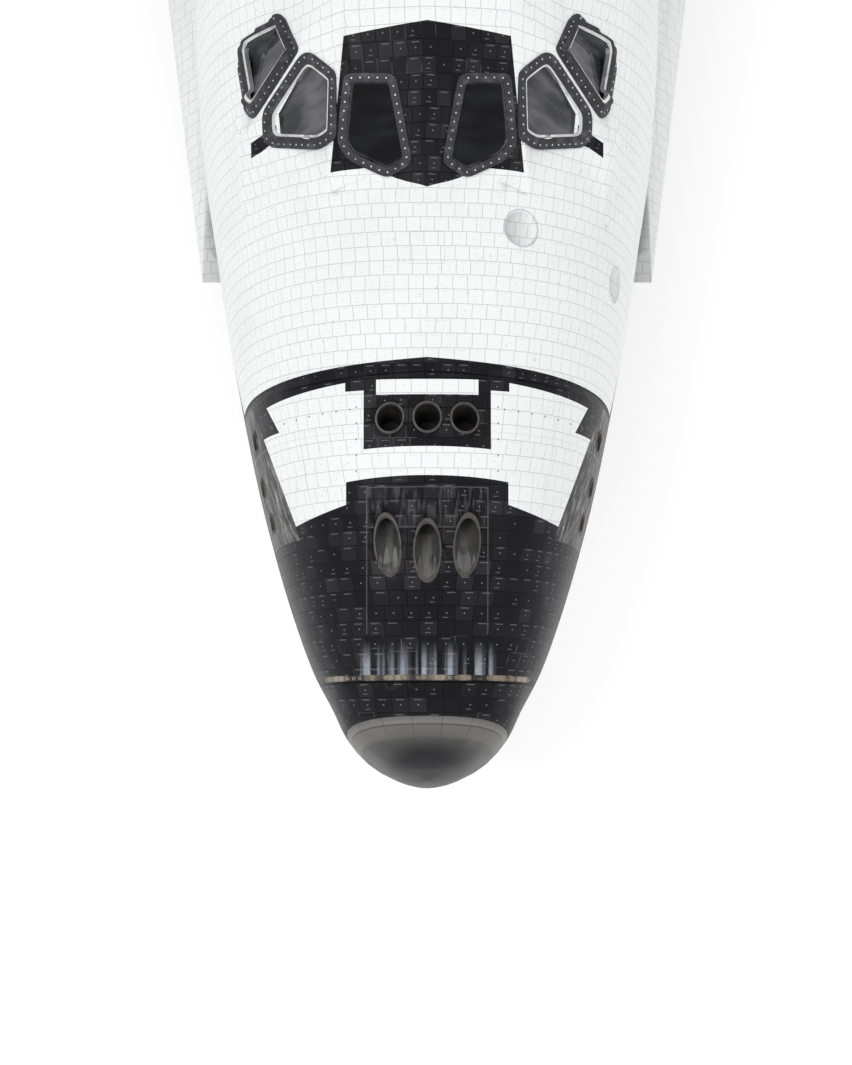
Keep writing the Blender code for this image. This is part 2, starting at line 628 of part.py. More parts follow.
def aft_body():
    """Engine bay shell with its front bulkhead, thrust posts and raked base."""
    bm = body_solid(BAY_REAR_Y + SEAM, BASE_Y)
    keep_behind(bm, *base_plane(0.0))
    shell = add_part("aft_fuselage", bm, "white_tile")
    hollow = body_solid(BAY_REAR_Y + 0.30, BASE_Y + 1.0, AFT_WALL)
    combine(shell, add_cutter("engine_bay", hollow))
    combine(shell, add_cutter("rear_wall_pad", wall_pad(BAY_REAR_Y + SEAM, -1.0)), "UNION")
    for word, x, y, z, pitch, yaw in ENGINE_MOUNTS:
        gimbal = Vector((x, y, z))
        aim = engine_aim(pitch, yaw)
        reach = (y - BAY_REAR_Y - 0.15) / aim.y
        post = rod(gimbal - aim * reach, gimbal - aim * (BALL_RADIUS + SEAM), 0.42, 0.20)
        combine(shell, add_cutter("thrust_post_" + word, post), "UNION")
    beam = slab((-FLAP_HALF - 0.15, BASE_Y - 0.38, 0.05), (FLAP_HALF + 0.15, BASE_Y - 0.12, 0.84))
    combine(shell, add_cutter("flap_beam", beam), "UNION")
    room = slab((-FLAP_HALF - 0.02, BASE_Y - 0.11, 0.21), (FLAP_HALF + 0.02, BASE_Y + 0.5, 0.95))
    combine(shell, add_cutter("flap_room", room))
    for side, word in ((1.0, "left"), (-1.0, "right")):
        ear = hinge_lug(flap_frame(), side * FLAP_LUG_X, FLAP_LUG_REACH, "flap_ear_" + word)
        combine(shell, ear, "UNION")
    rear = body_solid(29.0, BASE_Y, AFT_WALL + SEAM)
    keep_behind(rear, *base_plane(SHIELD_DEPTH))
    point, normal = base_plane(SHIELD_DEPTH + SHIELD_THICKNESS)
    keep_behind(rear, point, -normal)
    shield = add_part("base_heat_shield", rear, "black_tile")
    for word, x, y, z, _, _ in ENGINE_MOUNTS:
        ball = bmesh.new()
        bmesh.ops.create_uvsphere(ball, u_segments=20, v_segments=10, radius=DOME_RADIUS + DOME_GAP,
                                  matrix=Matrix.Translation((x, y, z)))
        combine(shield, add_cutter("dome_room_" + word, ball))


def bell_profile(throat, exit_radius, start, length, wall, steps):
    """Outer then inner line of a rocket bell, as (radius, distance)."""
    outer = []
    for step in range(steps + 1):
        t = step / steps
        outer.append((throat + (exit_radius - throat) * t ** 0.65, start + length * t))
    inner = [(radius - wall, distance) for radius, distance in reversed(outer)]
    return outer + inner


def main_engines():
    """Three main engines, each with its ball, dome shield and bell."""
    for word, x, y, z, pitch, yaw in ENGINE_MOUNTS:
        profile = [(0.0, -BALL_RADIUS), (BALL_RADIUS * 0.7, -BALL_RADIUS * 0.7), (BALL_RADIUS, 0.0),
                   (BALL_RADIUS * 0.8, 0.12), (0.34, 0.30), (0.42, 0.60)]
        shell = DOME_RADIUS - 0.06
        for angle in (24.0, 42.0, 60.0):
            profile.append((shell * math.sin(math.radians(angle)), shell * math.cos(math.radians(angle))))
        for angle in (60.0, 47.0, 34.0, 22.0):
            profile.append((DOME_RADIUS * math.sin(math.radians(angle)),
                            DOME_RADIUS * math.cos(math.radians(angle))))
        profile += bell_profile(0.36, BELL_EXIT, 1.30, BELL_REACH - 1.30, 0.05, 4)
        profile.append((0.0, 1.45))
        turned(profile, 18, "main_engine_" + word, "bell_metal", (x, y, z), engine_aim(pitch, yaw))


POD_RINGS = ((27.60, 1.95, 5.00, 0.28, 0.25), (28.10, 1.98, 5.03, 0.72, 0.68),
             (29.00, 2.03, 5.05, 1.08, 1.03), (30.40, 2.12, 5.05, 1.32, 1.24),
             (32.20, 2.30, 5.05, 1.28, 1.28), (33.50, 2.36, 5.08, 1.10, 1.16),
             (33.90, 2.36, 5.10, 0.92, 0.98))


def manoeuvring_pods():
    """Pods on the shoulders of the aft body, each with its bell."""
    aft = body_solid(BAY_REAR_Y, BASE_Y, -SEAM)
    aft_outer = add_cutter("aft_outer", aft)
    for side, word in ((1.0, "left"), (-1.0, "right")):
        rings = []
        for y, x, z, half, rise in POD_RINGS:
            outline = oval(half, z + rise, z - rise, z, 2.5, 2.5, 18)
            rings.append([Vector((side * (x + px), y, pz)) for px, pz in outline])
        pod = add_part("manoeuvring_pod_" + word, loft(rings), "blanket")
        combine(pod, aft_outer)
        x, y, z, pitch, yaw = POD_ENGINE
        aim = engine_aim(pitch, yaw * side)
        start = Vector((side * x, y, z))
        socket = rod(start, start + aim * 1.6, 0.30, 0.60, segments=20)
        combine(pod, add_cutter("pod_socket_" + word, socket))
        profile = [(0.0, SEAM), (0.20, SEAM), (0.22, 0.35)]
        profile += bell_profile(0.14, 0.546, 0.45, 1.35, 0.03, 3)
        profile.append((0.0, 0.60))
        turned(profile, 14, "manoeuvring_bell_" + word, "bell_metal", start, aim)


def wing_row(x):
    """Leading edge, trailing edge, reference height, thickness and fullness of the wing at x."""
    rows = WING_STATIONS
    index = next((i for i in range(len(rows) - 1) if x <= rows[i + 1][0]), len(rows) - 2)
    low, high = rows[index], rows[index + 1]
    t = (x - low[0]) / (high[0] - low[0])
    return [a + (b - a) * t for a, b in zip(low[1:], high[1:])]


def wing_depth(share, thickness, fullness):
    """Full thickness of the section at a share of its chord."""
    u = share ** fullness
    shape = 0.2969 * math.sqrt(u) - 0.1260 * u - 0.3516 * u ** 2 + 0.2843 * u ** 3 - 0.1015 * u ** 4
    return 10.0 * thickness * shape


def wing_ring(row):
    """Section of the wing as points, along the top from the nose and back along the bottom."""
    x, front, rear, reference, thickness, fullness = row
    steps = WING_SECTION_POINTS - 1
    shares = [0.5 - 0.5 * math.cos(math.pi * i / steps) for i in range(steps + 1)]
    top = []
    bottom = []
    for share in shares:
        depth = max(wing_depth(share, thickness, fullness), EDGE_DEPTH)
        y = front + (rear - front) * share
        top.append((y, reference + depth * (1.0 - WING_LOWER_SHARE)))
        bottom.append((y, reference - depth * WING_LOWER_SHARE))
    points = top[:1] + top[1:] + bottom[::-1][:-1]
    return [Vector((x, y, z)) for y, z in points]


def wing_solid():
    """Whole port wing with its glove, before the control surfaces are cut."""
    return loft([wing_ring(row) for row in WING_STATIONS])


def hinge_height(x):
    """Middle of the wing's thickness at the elevons' hinge line, and half that thickness."""
    front, rear, reference, thickness, fullness = wing_row(x)
    depth = wing_depth((HINGE_Y - front) / (rear - front), thickness, fullness)
    return reference + depth * (0.5 - WING_LOWER_SHARE), depth / 2.0


def elevon_frame():
    """Axes of the elevons' hinge: X along the hinge outboard, Y aft, Z up; origin at the inboard end."""
    start, end = ELEVON_SPANS[0][1], ELEVON_SPANS[-1][2]
    origin = Vector((start, HINGE_Y, hinge_height(start)[0]))
    along = (Vector((end, HINGE_Y, hinge_height(end)[0])) - origin).normalized()
    aft = Vector((0.0, 1.0, 0.0))
    up = along.cross(aft)
    return Matrix.Translation(origin) @ Matrix((along, aft, up)).transposed().to_4x4()


def elevon_radius(x):
    """Radius of the elevon's nose at a span station, even along the hinge."""
    start, end = ELEVON_SPANS[0][1], ELEVON_SPANS[-1][2]
    share = (x - start) / (end - start)
    return (hinge_height(start)[1] * (1.0 - share) + hinge_height(end)[1] * share) * 0.97


def prism(frame, outline, low, high):
    """Loft along a frame's X of an outline of (y, z), which may differ at the two ends."""
    rings = []
    for x, points in ((low, outline[0]), (high, outline[1])):
        rings.append([frame @ Vector((x, y, z)) for y, z in points])
    return loft(rings)


def hinge_lug(frame, x, reach, name):
    """Plate with a round eye that carries a surface's hinge pin, as one joined cutter."""
    low, high = x - LUG_WIDTH / 2.0, x + LUG_WIDTH / 2.0
    meet = math.pi - math.asin(LUG_ARM / LUG_EYE)
    outline = [(-reach, LUG_ARM), (-reach, -LUG_ARM)]
    for step in range(9):
        angle = -meet + 2.0 * meet * step / 8
        outline.append((LUG_EYE * math.cos(angle), LUG_EYE * math.sin(angle)))
    lug = add_cutter(name, prism(frame, (outline, outline), low, high))
    bore = rod(frame @ Vector((low - 0.1, 0.0, 0.0)), frame @ Vector((high + 0.1, 0.0, 0.0)),
               HINGE_PIN + PIN_CLEARANCE)
    combine(lug, add_cutter(name + "_bore", bore))
    return lug


def slot_and_pin(surface, frame, x, name):
    """Slot in a moving surface for a lug, with the pin that crosses it."""
    half = ELEVON_SLOT / 2.0
    gap = [(-1.0, -1.0), (LUG_EYE + 0.03, -1.0), (LUG_EYE + 0.03, 1.0), (-1.0, 1.0)]
    combine(surface, add_cutter(name + "_slot", prism(frame, (gap, gap), x - half, x + half)))
    pin = rod(frame @ Vector((x - half - 0.03, 0.0, 0.0)), frame @ Vector((x + half + 0.03, 0.0, 0.0)),
              HINGE_PIN)
    combine(surface, add_cutter(name + "_pin", pin), "UNION")


def mirrored(bm, side):
    """Mirror a bmesh to starboard when the side is -1."""
    if side < 0.0:
        bmesh.ops.scale(bm, vec=(-1.0, 1.0, 1.0), verts=bm.verts[:])
    return bm


def side_frame(frame, side):
    """A port frame carried over to starboard, still right-handed."""
    if side > 0.0:
        return frame
    flip = Matrix.Scale(-1.0, 4, (1.0, 0.0, 0.0))
    return flip @ frame @ flip


def wings():
    """Two wings with main gear wells, and the four elevons on their hinge lugs."""
    whole = add_cutter("body_outer", body_solid(0.0, BASE_Y, -SEAM))
    port = elevon_frame()
    for side, word in ((1.0, "left"), (-1.0, "right")):
        frame = side_frame(port, side)
        wing = add_part("wing_" + word, mirrored(wing_solid(), side), "white_tile")
        combine(wing, whole)
        low_x, high_x, low_y, high_y, top = MAIN_WELL
        xs = sorted((side * low_x, side * high_x))
        combine(wing, add_cutter("main_well_" + word, slab((xs[0], low_y, -1.0), (xs[1], high_y, top))))
        for place, start, end in ELEVON_SPANS:
            elevon(wing, frame, side, word, place, start, end)


def elevon(wing, frame, side, word, place, start, end):
    """One elevon, with its room and lugs added to the wing."""
    name = "elevon_%s_%s" % (place, word)
    radii = (elevon_radius(start), elevon_radius(end))
    low = start - ELEVON_SPANS[0][1]
    high = end - ELEVON_SPANS[0][1]
    pivot = frame @ Vector((side * (low + high) / 2.0, 0.0, 0.0))
    box = [(0.0, -2.0), (6.0, -2.0), (6.0, 2.0), (0.0, 2.0)]
    part = add_part(name, mirrored(wing_solid(), side), "white_tile", pivot)
    combine(part, add_cutter(name + "_part", prism(frame, (box, box), side * low, side * high)), "INTERSECT")
    nose = rod(frame @ Vector((side * (low + END_STEP), 0.0, 0.0)),
               frame @ Vector((side * (high - END_STEP), 0.0, 0.0)), *radii, segments=24)
    combine(part, add_cutter(name + "_nose", nose), "UNION")
    rooms = []
    for crest in ELEVON_CREST[place]:
        lip = -(math.sin(math.radians(ELEVON_UP + 1.0)) * crest + ELEVON_GAP)
        rooms.append([(lip, -2.0), (6.0, -2.0), (6.0, 2.0), (lip, 2.0)])
    near, far = side * (low - ELEVON_GAP), side * (high + ELEVON_GAP)
    combine(wing, add_cutter(name + "_room", prism(frame, rooms, near, far)))
    cove = rod(frame @ Vector((near + side * END_STEP, 0.0, 0.0)),
               frame @ Vector((far - side * END_STEP, 0.0, 0.0)), radii[0] + ELEVON_GAP,
               radii[1] + ELEVON_GAP, segments=24)
    combine(wing, add_cutter(name + "_cove", cove))
    for number, share in enumerate((0.2, 0.8)):
        x = side * (low + (high - low) * share)
        combine(wing, hinge_lug(frame, x, radii[0] + 0.20, "%s_lug_%d" % (name, number)), "UNION")
        slot_and_pin(part, frame, x, "%s_%d" % (name, number))


def flap_frame():
    """Axes of the body flap's hinge."""
    y, z = FLAP_HINGE
    return Matrix.Translation((0.0, y, z))


def body_flap():
    """Flap below the engines, hung from two ears of the base."""
    y, z = FLAP_HINGE
    outline = [(0.0, -FLAP_RADIUS), (FLAP_TIP_Y - y, -0.10), (FLAP_TIP_Y - y, -0.04), (0.0, FLAP_RADIUS)]
    frame = flap_frame()
    wedge = prism(frame, (outline, outline), -FLAP_HALF, FLAP_HALF)
    flap = add_part("body_flap", wedge, "black_tile", (0.0, y, z))
    nose = rod((END_STEP - FLAP_HALF, y, z), (FLAP_HALF - END_STEP, y, z), FLAP_RADIUS, segments=24)
    combine(flap, add_cutter("flap_nose", nose), "UNION")
    for number, x in enumerate((FLAP_LUG_X, -FLAP_LUG_X)):
        slot_and_pin(flap, frame, x, "body_flap_%d" % number)


def fin_ring(z, front, rear, thickness):
    """Horizontal section of the fin."""
    half_points = []
    for i in range(9):
        share = 0.5 - 0.5 * math.cos(math.pi * i / 8)
        if share < 0.4:
            shape = math.sin(math.pi / 2.0 * share / 0.4) ** 0.7
        else:
            shape = 1.0 - 0.86 * (share - 0.4) / 0.6
        half_points.append((max(shape * thickness / 2.0, 0.012), front + (rear - front) * share))
    points = [(x, y) for x, y in half_points] + [(-x, y) for x, y in reversed(half_points)]
    return [Vector((x, y, z)) for x, y in points]


def fin_solid():
    """Whole fin with its rudder."""
    rings = []
    for (z, front, rear), (_, thickness) in zip(FIN_LINES, FIN_THICKNESS):
        rings.append(fin_ring(z, front, rear, thickness))
    return loft(rings)


def rudder_frame():
    """Axes of the rudder's hinge, from its lower end: Z up along the hinge, Y aft and square to it."""
    root = Vector((0.0, *RUDDER_ROOT))
    along = (Vector((0.0, *RUDDER_TIP)) - root).normalized()
    aft = along.cross(Vector((1.0, 0.0, 0.0)))
    return Matrix.Translation(root) @ Matrix((Vector((1.0, 0.0, 0.0)), aft, along)).transposed().to_4x4()


def frame_box(frame, low, high):
    """Box between two corners of a frame."""
    bm = slab(low, high)
    bmesh.ops.transform(bm, matrix=frame, verts=bm.verts[:])
    return bm


def fin_and_rudder():
    """Fin, the rudder's driving tube and the two brake panels that part at the middle."""
    frame = rudder_frame()
    low, high = RUDDER_SPAN
    bm = fin_solid()
    y, z, slope = FIN_UNDERCUT
    keep_behind(bm, Vector((0.0, y, z)), Vector((0.0, slope, -1.0)).normalized())
    fin = add_part("vertical_tail", bm, "blanket")
    combine(fin, add_cutter("body_under_fin", body_solid(26.9, BASE_Y, -SEAM)))
    room = frame_box(frame, (-2.0, -0.001, low - 0.01), (2.0, 6.0, high + 0.01))
    combine(fin, add_cutter("rudder_room", room))
    cove = rod(frame @ Vector((0, 0, low - 0.01)), frame @ Vector((0, 0, high + 0.01)), *RUDDER_COVE,
               segments=24)
    combine(fin, add_cutter("rudder_cove", cove))
    bore = rod(frame @ Vector((0, 0, low - 0.15)), frame @ Vector((0, 0, high + 0.15)),
               HINGE_PIN + PIN_CLEARANCE)
    combine(fin, add_cutter("rudder_bore", bore))
    pivot = frame @ Vector((0.0, 0.0, (low + high) / 2.0))
    tube = rod(frame @ Vector((0, 0, low)), frame @ Vector((0, 0, high)), *RUDDER_TUBE, segments=40)
    drive = add_part("rudder_hinge_tube", tube, "wheel_metal", pivot)
    pin = rod(frame @ Vector((0, 0, low - 0.12)), frame @ Vector((0, 0, high + 0.12)), HINGE_PIN)
    combine(drive, add_cutter("rudder_pin", pin), "UNION")
    clear = 1.0 / math.cos(math.pi / 40)
    around = rod(frame @ Vector((0, 0, low)), frame @ Vector((0, 0, high)),
                 RUDDER_TUBE[0] * clear + 2 * SEAM, RUDDER_TUBE[1] * clear + 2 * SEAM, segments=40)
    around_cutter = add_cutter("around_tube", around)
    for side, word in ((1.0, "left"), (-1.0, "right")):
        xs = sorted((side * SEAM, side * 2.0))
        half = frame_box(frame, (xs[0], 0.0, low + 0.001), (xs[1], 6.0, high - 0.001))
        panel = add_part("rudder_panel_" + word, fin_solid(), "blanket", pivot)
        combine(panel, add_cutter("rudder_half_" + word, half), "INTERSECT")
        combine(panel, around_cutter)


def ring_part(name, outline, segments, finish, centre, phase):
    """Closed ring turned about the craft's X from an outline of (radius, x offset)."""
    bm = bmesh.new()
    loops = []
    for step in range(segments):
        angle = 2.0 * math.pi * (step + 0.5) / segments + phase
        loop = []
        for radius, offset in outline:
            loop.append(bm.verts.new((centre[0] + offset, centre[1] + radius * math.sin(angle),
                                      centre[2] - radius * math.cos(angle))))
        loops.append(loop)
    count = len(outline)
    for step in range(segments):
        here, there = loops[step], loops[(step + 1) % segments]
        for i in range(count):
            j = (i + 1) % count
            bm.faces.new((here[i], here[j], there[j], there[i]))
    return add_part(name, bm, finish, centre)


def wheel_pair(name, centre, offset, tyre, axle_radius):
    """Two wheels with tyres on one axle, ground facet level."""
    radius, width = tyre
    rim = radius * 0.52
    half = width / 2.0
    for side in (1.0, -1.0):
        if abs(centre[0]) < 0.001:
            word = "left" if side > 0 else "right"
        else:
            word = "outer" if side * centre[0] > 0 else "inner"
        middle = (centre[0] + side * offset, centre[1], centre[2])
        section = [(rim, -half * 0.70), (radius * 0.74, -half), (radius * 0.93, -half * 0.86),
                   (radius, -half * 0.42), (radius, half * 0.42), (radius * 0.93, half * 0.86),
                   (radius * 0.74, half), (rim, half * 0.70)]
        ring_part("%s_tyre_%s" % (name, word), section, TYRE_SEGMENTS, "tyre_rubber", middle, -PARK_TILT)
        bore = axle_radius + AXLE_CLEARANCE
        hub = [(bore, -half * 0.75), (rim * 0.40, -half * 0.70), (rim - SEAM, -half * 0.40),
               (rim - SEAM, half * 0.40), (rim * 0.40, half * 0.70), (bore, half * 0.75)]
        ring_part("%s_wheel_%s" % (name, word), hub, TYRE_SEGMENTS, "wheel_metal", middle, -PARK_TILT)


def joined(name, finish, shapes, pivot=(0.0, 0.0, 0.0)):
    """One part made of several overlapping shapes."""
    part = add_part(name, shapes[0], finish, pivot)
    for number, shape in enumerate(shapes[1:]):
        combine(part, add_cutter("%s_piece_%d" % (name, number), shape), "UNION")
    return part


def nose_gear():
    """Fixed leg with its brace, the steered fork, wheels and the two well doors."""
    axle_z = nose_axle_z()
    y = NOSE_GEAR_Y
    top = NOSE_WELL[3] - SEAM
    collar = axle_z + 0.62
    joined("nose_gear_leg", "gear_paint",
           [rod((0, y, top), (0, y, collar), 0.10),
            rod((0, y, 0.10), (0, 2.35, top - 0.12), 0.05, segments=10),
            slab((-0.20, 2.25, top - 0.25), (0.20, 2.45, top)),
            rod((-0.30, y, 0.55), (0.30, y, 0.55), 0.06)])
    joined("nose_gear_fork", "gear_paint",
           [rod((0, y, collar - SEAM), (0, y, axle_z - 0.07), 0.065),
            rod((-0.33, y, axle_z), (0.33, y, axle_z), NOSE_AXLE),
            rod((0, y, collar - 0.03), (0, y, collar - 0.12), 0.12),
            slab((-0.05, y + 0.04, axle_z + 0.10), (0.05, y + 0.16, collar - 0.05))], (0.0, y, axle_z))
    wheel_pair("nose", (0.0, y, axle_z), NOSE_TYRE_OFFSET, NOSE_TYRE, NOSE_AXLE)
    half, front, rear, _ = NOSE_WELL
    for side, word in ((1.0, "left"), (-1.0, "right")):
        xs = sorted((side * (half - SEAM), side * (half - 0.045)))
        door = slab((xs[0], front + 0.02, -0.42), (xs[1], rear - 0.02, 0.62))
        add_part("nose_gear_door_" + word, door, "black_tile")


def main_gear():
    """Legs with axles and braces, twin wheels and well doors on both sides."""
    top = MAIN_WELL[4] - SEAM
    y, axle_z = MAIN_GEAR_Y, MAIN_AXLE_Z
    for side, word in ((1.0, "left"), (-1.0, "right")):
        x = side * MAIN_GEAR_X
        joined("main_gear_leg_" + word, "gear_paint",
               [rod((x, y, top), (x, y, axle_z + 0.70), 0.17),
                rod((x, y, axle_z + 0.75), (x, y, axle_z - 0.11), 0.11),
                rod((x - 0.56, y, axle_z), (x + 0.56, y, axle_z), MAIN_AXLE),
                rod((x, y, -0.65), (x, y - 1.75, top - 0.12), 0.075, segments=10),
                slab((x - 0.25, y - 1.90, top - 0.30), (x + 0.25, y - 1.60, top)),
                slab((x - 0.07, y + 0.08, axle_z + 0.05), (x + 0.07, y + 0.30, axle_z + 0.85))])
        wheel_pair("main_" + word, (x, y, axle_z), MAIN_TYRE_OFFSET, MAIN_TYRE, MAIN_AXLE)
        _, outer, front, rear, _ = MAIN_WELL
        xs = sorted((side * (outer - SEAM), side * (outer - 0.06)))
        door = slab((xs[0], front + 0.02, -1.35), (xs[1], rear - 0.02, 0.60))
        add_part("main_gear_door_" + word, door, "black_tile")


def build():
    """Build the whole craft."""
    nose_cap()
    thruster_module()
    nose_body()
    crew_hatch()
    cockpit_glass()
    cabin_fit_out()
    load_bay()
    aft_body()
    main_engines()
    manoeuvring_pods()
    wings()
    body_flap()
    fin_and_rudder()
    nose_gear()
    main_gear()


build()
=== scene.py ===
import json
import math

import bmesh
import bpy
from mathutils import Matrix, Vector
from mathutils.bvhtree import BVHTree


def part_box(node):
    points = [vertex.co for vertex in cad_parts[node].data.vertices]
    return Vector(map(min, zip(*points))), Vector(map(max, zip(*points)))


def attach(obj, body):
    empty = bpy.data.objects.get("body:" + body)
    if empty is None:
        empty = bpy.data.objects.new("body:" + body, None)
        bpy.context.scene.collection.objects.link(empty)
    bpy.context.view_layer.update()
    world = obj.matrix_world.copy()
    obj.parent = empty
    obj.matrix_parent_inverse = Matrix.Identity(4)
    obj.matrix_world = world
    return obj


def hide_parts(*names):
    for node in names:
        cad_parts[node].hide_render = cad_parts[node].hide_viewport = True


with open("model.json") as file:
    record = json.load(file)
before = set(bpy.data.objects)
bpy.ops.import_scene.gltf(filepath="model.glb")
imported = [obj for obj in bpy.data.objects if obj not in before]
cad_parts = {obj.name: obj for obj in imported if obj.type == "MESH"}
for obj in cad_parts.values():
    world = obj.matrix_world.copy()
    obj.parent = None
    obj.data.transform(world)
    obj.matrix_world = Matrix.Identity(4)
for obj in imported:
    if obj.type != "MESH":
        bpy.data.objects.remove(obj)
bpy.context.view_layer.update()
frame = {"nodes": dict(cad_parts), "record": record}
bodyOfNode = {node: body for body, nodes in frame["record"]["behaviour"]["bodies"].items() for node in nodes}

# the craft's own axes: x to port, y aft from the nose tip, z up from the belly
attitude = {"tilt": math.radians(3.4), "tipY": -18.1211, "bellyZ": 1.125122}
craftToWorld = (Matrix.Translation((0.0, attitude["tipY"], attitude["bellyZ"]))
                @ Matrix.Rotation(attitude["tilt"], 4, "X"))
worldToCraft = craftToWorld.inverted()
sides = ((1.0, "left"), (-1.0, "right"))


def operator(operation, swapped=False):
    # a Wire's method that adds one Math node
    def method(self, other):
        first, second = (other, self) if swapped else (self, other)
        return self.graph.node("ShaderNodeMath", {"operation": operation}, {0: first, 1: second})
    return method


class Wire:
    # a shader socket that can be used in sums
    __add__ = __radd__ = operator("ADD")
    __mul__ = __rmul__ = __and__ = operator("MULTIPLY")
    __sub__, __rsub__ = operator("SUBTRACT"), operator("SUBTRACT", True)
    __truediv__ = operator("DIVIDE")
    __pow__, __rpow__ = operator("POWER"), operator("POWER", True)
    __gt__, __lt__, __or__ = operator("GREATER_THAN"), operator("LESS_THAN"), operator("MAXIMUM")
    least = operator("MINIMUM")

    def __init__(self, graph, socket):
        self.graph = graph
        self.socket = socket

    def alone(self, operation):
        return self.graph.node("ShaderNodeMath", {"operation": operation}, {0: self})

    def __abs__(self):
        return self.alone("ABSOLUTE")

    def floor(self):
        return self.alone("FLOOR")

    def offCentre(self):
        # -0.5 to 0.5 across each whole step
        return self - self.floor() - 0.5

    def fade(self, low, high):
        # 0 below low, 1 above high
        return self.graph.node("ShaderNodeMapRange", {"interpolation_type": "SMOOTHSTEP"},
                               {0: self, 1: low, 2: high, 3: 0.0, 4: 1.0})

    def ramp(self, low, high, rise):
        # straight from 0 at low to rise at high
        return self.graph.node("ShaderNodeMapRange", inputs={0: self, 1: low, 2: high, 3: 0.0, 4: rise})


class Graph:
    def __init__(self, name, roughness=0.5, metallic=0.0, coat=0.0, specular=0.5):
        self.material = bpy.data.materials.new(name)
        self.material.use_nodes = True
        self.tree = self.material.node_tree
        self.shader = self.tree.nodes["Principled BSDF"]
        self.put("Roughness", roughness)
        self.put("Metallic", metallic)
        self.put("Coat Weight", coat)
        self.put("Specular IOR Level", specular)

    def node(self, kind, settings=None, inputs=None, output=0):
        made = self.tree.nodes.new(kind)
        for key, value in (settings or {}).items():
            setattr(made, key, value)
        for key, value in (inputs or {}).items():
            self.feed(made.inputs[key], value)
        return Wire(self, made.outputs[output])

    def feed(self, socket, value):
        if isinstance(value, Wire):
            self.tree.links.new(value.socket, socket)
        else:
            socket.default_value = value

    def put(self, name, value):
        if isinstance(value, tuple) and len(value) == 3:
            value = (*value, 1.0)
        self.feed(self.shader.inputs[name], value)
        return self

    def mix(self, share, first, second):
        first, second = ((*c, 1.0) if isinstance(c, tuple) and len(c) == 3 else c for c in (first, second))
        return self.node("ShaderNodeMix", {"data_type": "RGBA"}, {0: share, 6: first, 7: second}, 2)

    def spot(self):
        return self.node("ShaderNodeTexCoord", output="Object")

    def craftPlace(self):
        # x, y and z in the craft's own axes
        spot = self.spot()
        x, y, z = (self.node("ShaderNodeSeparateXYZ", inputs={0: spot}, output=i) for i in range(3))
        c, s = math.cos(attitude["tilt"]), math.sin(attitude["tilt"])
        y = y - attitude["tipY"]
        z = z - attitude["bellyZ"]
        return x, y * c + z * s, z * c - y * s

    def point(self, x, y, z=0.0):
        return self.node("ShaderNodeCombineXYZ", inputs={0: x, 1: y, 2: z})

    def noise(self, where, scale, detail=3.0, roughness=0.55):
        return self.node("ShaderNodeTexNoise", inputs={"Vector": where, "Scale": scale, "Detail": detail,
                                                       "Roughness": roughness})

    def chance(self, a, b):
        return self.node("ShaderNodeTexWhiteNoise", {"noise_dimensions": "2D"}, {"Vector": self.point(a, b)})

    def finished(self, colour, roughness, height, depth):
        self.put("Base Color", colour)
        self.put("Roughness", roughness)
        self.put("Normal", self.node("ShaderNodeBump", inputs={"Height": height, "Distance": depth}))
        return self.material


def tiles(g, u, v, pitchU, pitchV, spread=None):
    # staggered rows; spread scales each row's columns by its place
    rowPlace = v / pitchV
    row = rowPlace.floor()
    across = rowPlace - row
    along = u / pitchU
    if spread:
        along = along * spread(row * pitchV)
    along = along + g.chance(row, 3.7) * 0.5
    column = along.floor()
    along = along - column
    seam = (0.5 - abs(along - 0.5)) * pitchU
    rim = (0.5 - abs(across - 0.5)) * pitchV
    return {"gap": seam.least(rim), "tone": g.chance(column, row), "other": g.chance(column + 31.3, row),
            "across": across, "along": along, "rowTone": g.chance(row, 9.1), "pitch": (pitchU, pitchV)}


def tileMarks(g, grid):
    # the small plug in the middle of some tiles and the short dashes near their edges
    du = (grid["along"] - 0.5) * grid["pitch"][0]
    dv = (grid["across"] - 0.5) * grid["pitch"][1]
    dot = ((du * du + dv * dv) < 0.00005) & (grid["other"] > 0.35)
    dash = (abs(grid["across"] - 0.84) < 0.035) & (abs(grid["along"] - 0.5) < 0.24) & (grid["tone"] > 0.50)
    short = (abs(grid["across"] - 0.22) < 0.030) & (abs(grid["along"] - 0.45) < 0.16) & (grid["other"] > 0.72)
    broken = g.noise(g.point(grid["along"], grid["across"]), 60.0, 1.0) > 0.5
    return dot, (dash | short) & broken


skinLook = {
    "white": (0.815, 0.82, 0.825), "whiteAged": (0.69, 0.69, 0.685), "whiteSeam": (0.44, 0.44, 0.45),
    "black": (0.010, 0.010, 0.012), "blackAged": (0.036, 0.035, 0.040), "blackSeamLight": (0.17, 0.17, 0.18),
    "blackSeamDark": (0.003, 0.003, 0.004), "tan": (0.34, 0.28, 0.21), "smear": (0.20, 0.195, 0.195),
    "smearDark": (0.035, 0.034, 0.034), "edgeGrey": (0.20, 0.20, 0.205),
}

# the two star tracker recesses: centre, radius and depth
trackers = {"places": ((0.921, 4.782, 4.176), (1.944, 4.913, 2.943)), "radius": 0.185, "depths": (0.055, 0.028)}


